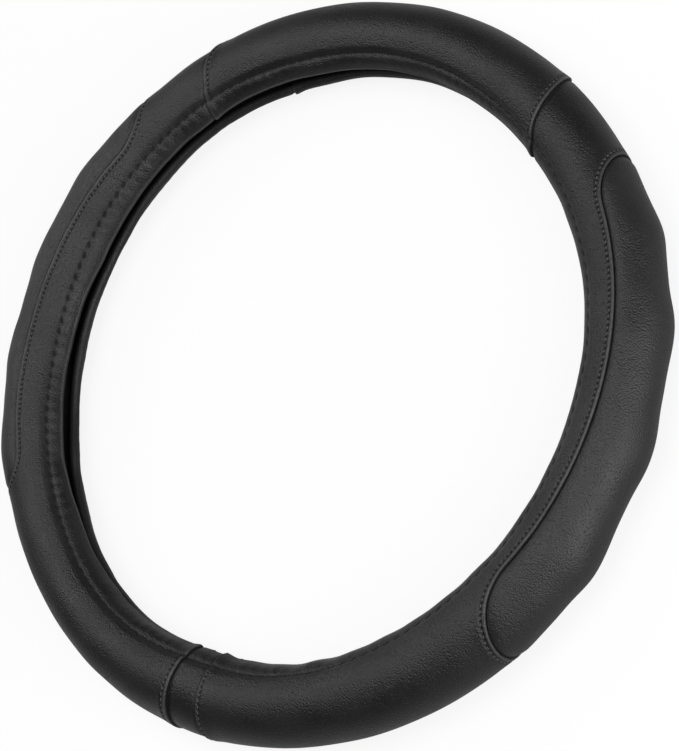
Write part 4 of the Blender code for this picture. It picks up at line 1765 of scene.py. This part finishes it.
def mixed_colour(sheet: NodeSheet, share: bpy.types.NodeSocket, plain: object,
                 marked: tuple[float, float, float]) -> bpy.types.NodeSocket:
    """Mix two colours.

    Args:
        sheet: The material's sheet.
        share: How much of the second colour shows.
        plain: The first colour, or an output.
        marked: The second colour.

    Returns:
        The mixed colour.
    """
    mix = sheet.add("ShaderNodeMix", {"Factor": share}, data_type="RGBA")
    first, second = [number for number, socket in enumerate(mix.inputs) if socket.type == "RGBA"]
    sheet.fill(mix, {first: plain, second: marked})
    return [socket for socket in mix.outputs if socket.type == "RGBA"][0]


def bump(sheet: NodeSheet, height: bpy.types.NodeSocket, depth: float) -> bpy.types.NodeSocket:
    """Raise a surface by a height.

    Args:
        sheet: The material's sheet.
        height: Heights from 0 to 1.
        depth: Height of 1 in millimetres.

    Returns:
        The raised surface's normal.
    """
    inputs = {"Strength": 1.0, "Distance": depth * MM, "Height": height}
    return sheet.add("ShaderNodeBump", inputs).outputs["Normal"]


@dataclass(frozen=True)
class SoftBox:
    """A soft studio lamp."""

    name: str
    azimuth: float
    elevation: float
    width: float
    height: float
    power: float
    distance: float = 1.6

    def build(self, aim: Vector) -> None:
        """Hang the lamp, facing the cover.

        Args:
            aim: Place that it faces.
        """
        lamp = bpy.data.lights.new(self.name, "AREA")
        lamp.shape = "RECTANGLE"
        lamp.size = self.width
        lamp.size_y = self.height
        lamp.energy = self.power
        hung = bpy.data.objects.new(self.name, lamp)
        turn, tilt = math.radians(self.azimuth), math.radians(self.elevation)
        away = Vector((math.cos(turn) * math.cos(tilt), math.sin(turn) * math.cos(tilt), math.sin(tilt)))
        hung.location = aim + away * self.distance
        hung.rotation_euler = away.to_track_quat("Z", "Y").to_euler()
        bpy.context.scene.collection.objects.link(hung)


@dataclass
class Studio:
    """The pale floor, the soft lamps and the camera at the photograph's angle."""

    tube: Tube
    floor_size: float = 6.0
    floor_colour: tuple[float, float, float] = (0.4, 0.4, 0.4)
    white_floor_colour: tuple[float, float, float] = (0.93, 0.93, 0.93)
    floor_glow: float = 0.86  # how much of the floor that the camera sees is plain white, free of shadow
    surround: tuple[float, float, float] = (0.055, 0.055, 0.055)
    white_in_gloss: float = 0.12  # how much of the white background the cover's faint gloss shows
    from_cover: Vector = field(default_factory=lambda: Vector((0.5809, -0.1182, 0.8054)))
    picture_up: Vector = field(default_factory=lambda: Vector((-0.1609, 0.9532, 0.2559)))
    camera_distance: float = 1.1433
    lens: float = 107.43
    sensor: float = 36.0
    picture_height: float = 751.0
    aim_right: float = 30.4
    aim_down: float = 14.1
    lamps: tuple[SoftBox, ...] = (
        SoftBox("right_softbox", azimuth=-5.0, elevation=22.0, width=1.1, height=1.6, power=26.0),
        SoftBox("top_softbox", azimuth=20.0, elevation=88.0, width=1.0, height=1.2, power=16.0),
        SoftBox("left_softbox", azimuth=168.0, elevation=34.0, width=0.9, height=1.0, power=7.2),
    )

    def build(self) -> None:
        """Make the floor, the lamps, the surroundings and the camera."""
        self.floor()
        self.surroundings()
        aim = Vector((0.0, 0.0, self.tube.centre_height * MM))
        for lamp in self.lamps:
            lamp.build(aim)
        self.camera(aim)
        bpy.context.scene.view_settings.view_transform = "Standard"
        log.info("studio: floor, %d lamps and camera", len(self.lamps))

    def floor(self) -> None:
        """Make the pale floor, which shows white and keeps the cover's shadow."""
        half = self.floor_size / 2.0
        data = bpy.data.meshes.new("studio_floor")
        corners = [(-half, -half, 0.0), (half, -half, 0.0), (half, half, 0.0), (-half, half, 0.0)]
        data.from_pydata(corners, [], [[0, 1, 2, 3]])
        floor = bpy.data.objects.new("studio_floor", data)
        bpy.context.scene.collection.objects.link(floor)
        material, sheet, shader = new_material("pale_floor")
        seen = self.share_seen(sheet)
        colour = mixed_colour(sheet, seen, self.floor_colour, self.white_floor_colour)
        sheet.fill(shader, {"Base Color": colour, "Roughness": 0.9, "Specular IOR Level": 0.0})
        glow = sheet.add("ShaderNodeEmission", {"Strength": 1.0})
        glowing = sheet.math("MULTIPLY", seen, self.floor_glow)
        mix = sheet.add("ShaderNodeMixShader", {0: glowing, 1: shader.outputs[0], 2: glow.outputs[0]})
        sheet.fill(material.node_tree.nodes["Material Output"], {"Surface": mix.outputs[0]})
        data.materials.append(material)

    def share_seen(self, sheet: NodeSheet) -> bpy.types.NodeSocket:
        """How much of the white background a ray meets: all of it from the camera, a little in the gloss.

        Args:
            sheet: The sheet of nodes to add to.

        Returns:
            The share, from 0 to 1.
        """
        path = sheet.add("ShaderNodeLightPath")
        in_gloss = sheet.math("MULTIPLY", path.outputs["Is Glossy Ray"], self.white_in_gloss)
        through = sheet.math("MAXIMUM", path.outputs["Is Transmission Ray"], in_gloss)
        return sheet.math("MAXIMUM", path.outputs["Is Camera Ray"], through)

    def surroundings(self) -> None:
        """Light the studio evenly from all round, and show it white to the camera."""
        world = bpy.data.worlds.new("studio")
        bpy.context.scene.world = world
        world.use_nodes = True
        sheet = NodeSheet(world.node_tree)
        background = world.node_tree.nodes["Background"]
        sheet.fill(background, {"Color": self.surround})
        white = sheet.add("ShaderNodeBackground", {"Color": (1.0, 1.0, 1.0)})
        shown = {0: self.share_seen(sheet), 1: background.outputs[0], 2: white.outputs[0]}
        mix = sheet.add("ShaderNodeMixShader", shown)
        sheet.fill(world.node_tree.nodes["World Output"], {"Surface": mix.outputs[0]})

    def camera(self, aim: Vector) -> None:
        """Place the camera where the photograph was taken from.

        Args:
            aim: Middle of the cover.
        """
        back = self.from_cover.normalized()
        right = self.picture_up.cross(back).normalized()
        up = back.cross(right)
        focal = self.lens / self.sensor * self.picture_height
        forward = (-back * focal + right * self.aim_right - up * self.aim_down).normalized()
        back_turned = -forward
        right_turned = up.cross(back_turned).normalized()
        up_turned = back_turned.cross(right_turned)
        data = bpy.data.cameras.new("photo_camera")
        data.lens = self.lens
        data.sensor_width = self.sensor
        camera = bpy.data.objects.new("photo_camera", data)
        place = aim + back * self.camera_distance
        turned = Matrix((right_turned, up_turned, back_turned)).transposed().to_4x4()
        camera.matrix_world = Matrix.Translation(place) @ turned
        bpy.context.scene.collection.objects.link(camera)
        bpy.context.scene.camera = camera


TOP_RIGHT_SEAM = Seam(57.4, -7.4, -0.4)
TOP_LEFT_SEAM = Seam(122.9, 9.2, -0.6)
BOTTOM_LEFT_SEAM = Seam(266.1)
BOTTOM_RIGHT_SEAM = Seam(272.1)
PATCH_STITCH_INSET = 1.4

RIGHT_INSERT = InsertShape(-36.9, 41.0, 101.5, 73.5, (-20.7, -3.0, 15.0, 28.5), (21.5, 21.5, 26.0, 30.0))
LEFT_INSERT = InsertShape(139.4, 213.0, 101.0, 81.5, (156.5, 171.5, 188.7, 206.0), (21.5, 21.5, 17.0, 31.0))


def tube_from_frame() -> Tube:
    """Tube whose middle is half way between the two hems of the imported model."""
    front_low, front_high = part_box("front_hem_thread")
    back_low, back_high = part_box("back_hem_thread")
    middle = (front_low.z + front_high.z + back_low.z + back_high.z) / 4.0
    return Tube(centre_height=middle / MM)


def build_cover(tube: Tube) -> None:
    """Make all the pieces of the cover.

    Args:
        tube: The tube that the leather is wrapped round.
    """
    sewing = Sewing()
    finishes = Finishes()
    smooth = LeatherFinish("smooth_leather", (0.0028, 0.0028, 0.003), (0.0056, 0.0052, 0.0053))
    smooth_material = smooth.material(finishes)
    grip = LeatherFinish("grip_leather", (0.0068, 0.0068, 0.0071), (0.0104, 0.0101, 0.0102),
                         smoothest=0.38, roughest=0.48, cells=1180.0, grain_depth=0.32)
    grip_material = grip.material(finishes)
    rubber = MatteFinish("ring_rubber", (0.045, 0.045, 0.045), (0.06, 0.06, 0.06), 0.8, 2600.0, 0.03)
    foam = MatteFinish("pad_foam", (0.01, 0.01, 0.01), (0.014, 0.014, 0.014), 0.95, 1800.0, 0.08)
    thread = MatteFinish("thread_polyester", (0.05, 0.05, 0.051), (0.07, 0.07, 0.071), 0.45, 6500.0, 0.03)
    thread_material = thread.material(finishes)

    RubberRing("inner_ring", tube).build(rubber.material(finishes))
    foam_material = foam.material(finishes)
    for side, shape, seed in (("left", LEFT_INSERT, 31), ("right", RIGHT_INSERT, 47)):
        GripPad(f"{side}_grip_pad", tube, shape).build(foam_material)
        GripInsert(f"{side}_insert", tube, sewing, shape, seed=seed).build(grip_material)

    over, under = Edge.LAPS_OVER, Edge.GOES_UNDER
    top = LeatherPanel("top_panel", tube, sewing, TOP_RIGHT_SEAM, TOP_LEFT_SEAM, over, over, seed=5)
    left = LeatherPanel("left_panel", tube, sewing, TOP_LEFT_SEAM, BOTTOM_LEFT_SEAM, under, over,
                        insert=LEFT_INSERT, seed=12)
    right_start = BOTTOM_RIGHT_SEAM.turned_back()
    right = LeatherPanel("right_panel", tube, sewing, right_start, TOP_RIGHT_SEAM, over, under,
                         start_inset=PATCH_STITCH_INSET, insert=RIGHT_INSERT, seed=19)
    patch = LeatherPanel("bottom_patch", tube, sewing, BOTTOM_LEFT_SEAM, BOTTOM_RIGHT_SEAM, under, under,
                         end_shade=1.3, seed=26)
    for panel in (top, left, right, patch):
        panel.build(smooth_material)

    threads = CoverThreads(tube, sewing, StitchTree(), thread_material)
    threads.seam("top_right_thread", top, at_start=True)
    threads.seam("top_left_thread", top, at_start=False)
    threads.seam("bottom_left_thread", left, at_start=False)
    threads.seam("bottom_right_thread", right, at_start=True)
    threads.insert("left_insert_thread", left)
    threads.insert("right_insert_thread", right)
    threads.hem("front_hem_thread", HemSide.FRONT)
    threads.hem("back_hem_thread", HemSide.BACK)


def main() -> None:
    """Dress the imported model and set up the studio."""
    logging.basicConfig(level=logging.INFO, format="%(message)s")
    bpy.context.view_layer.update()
    tube = tube_from_frame()
    build_cover(tube)
    Studio(tube).build()


if __name__ == "__main__":
    main()
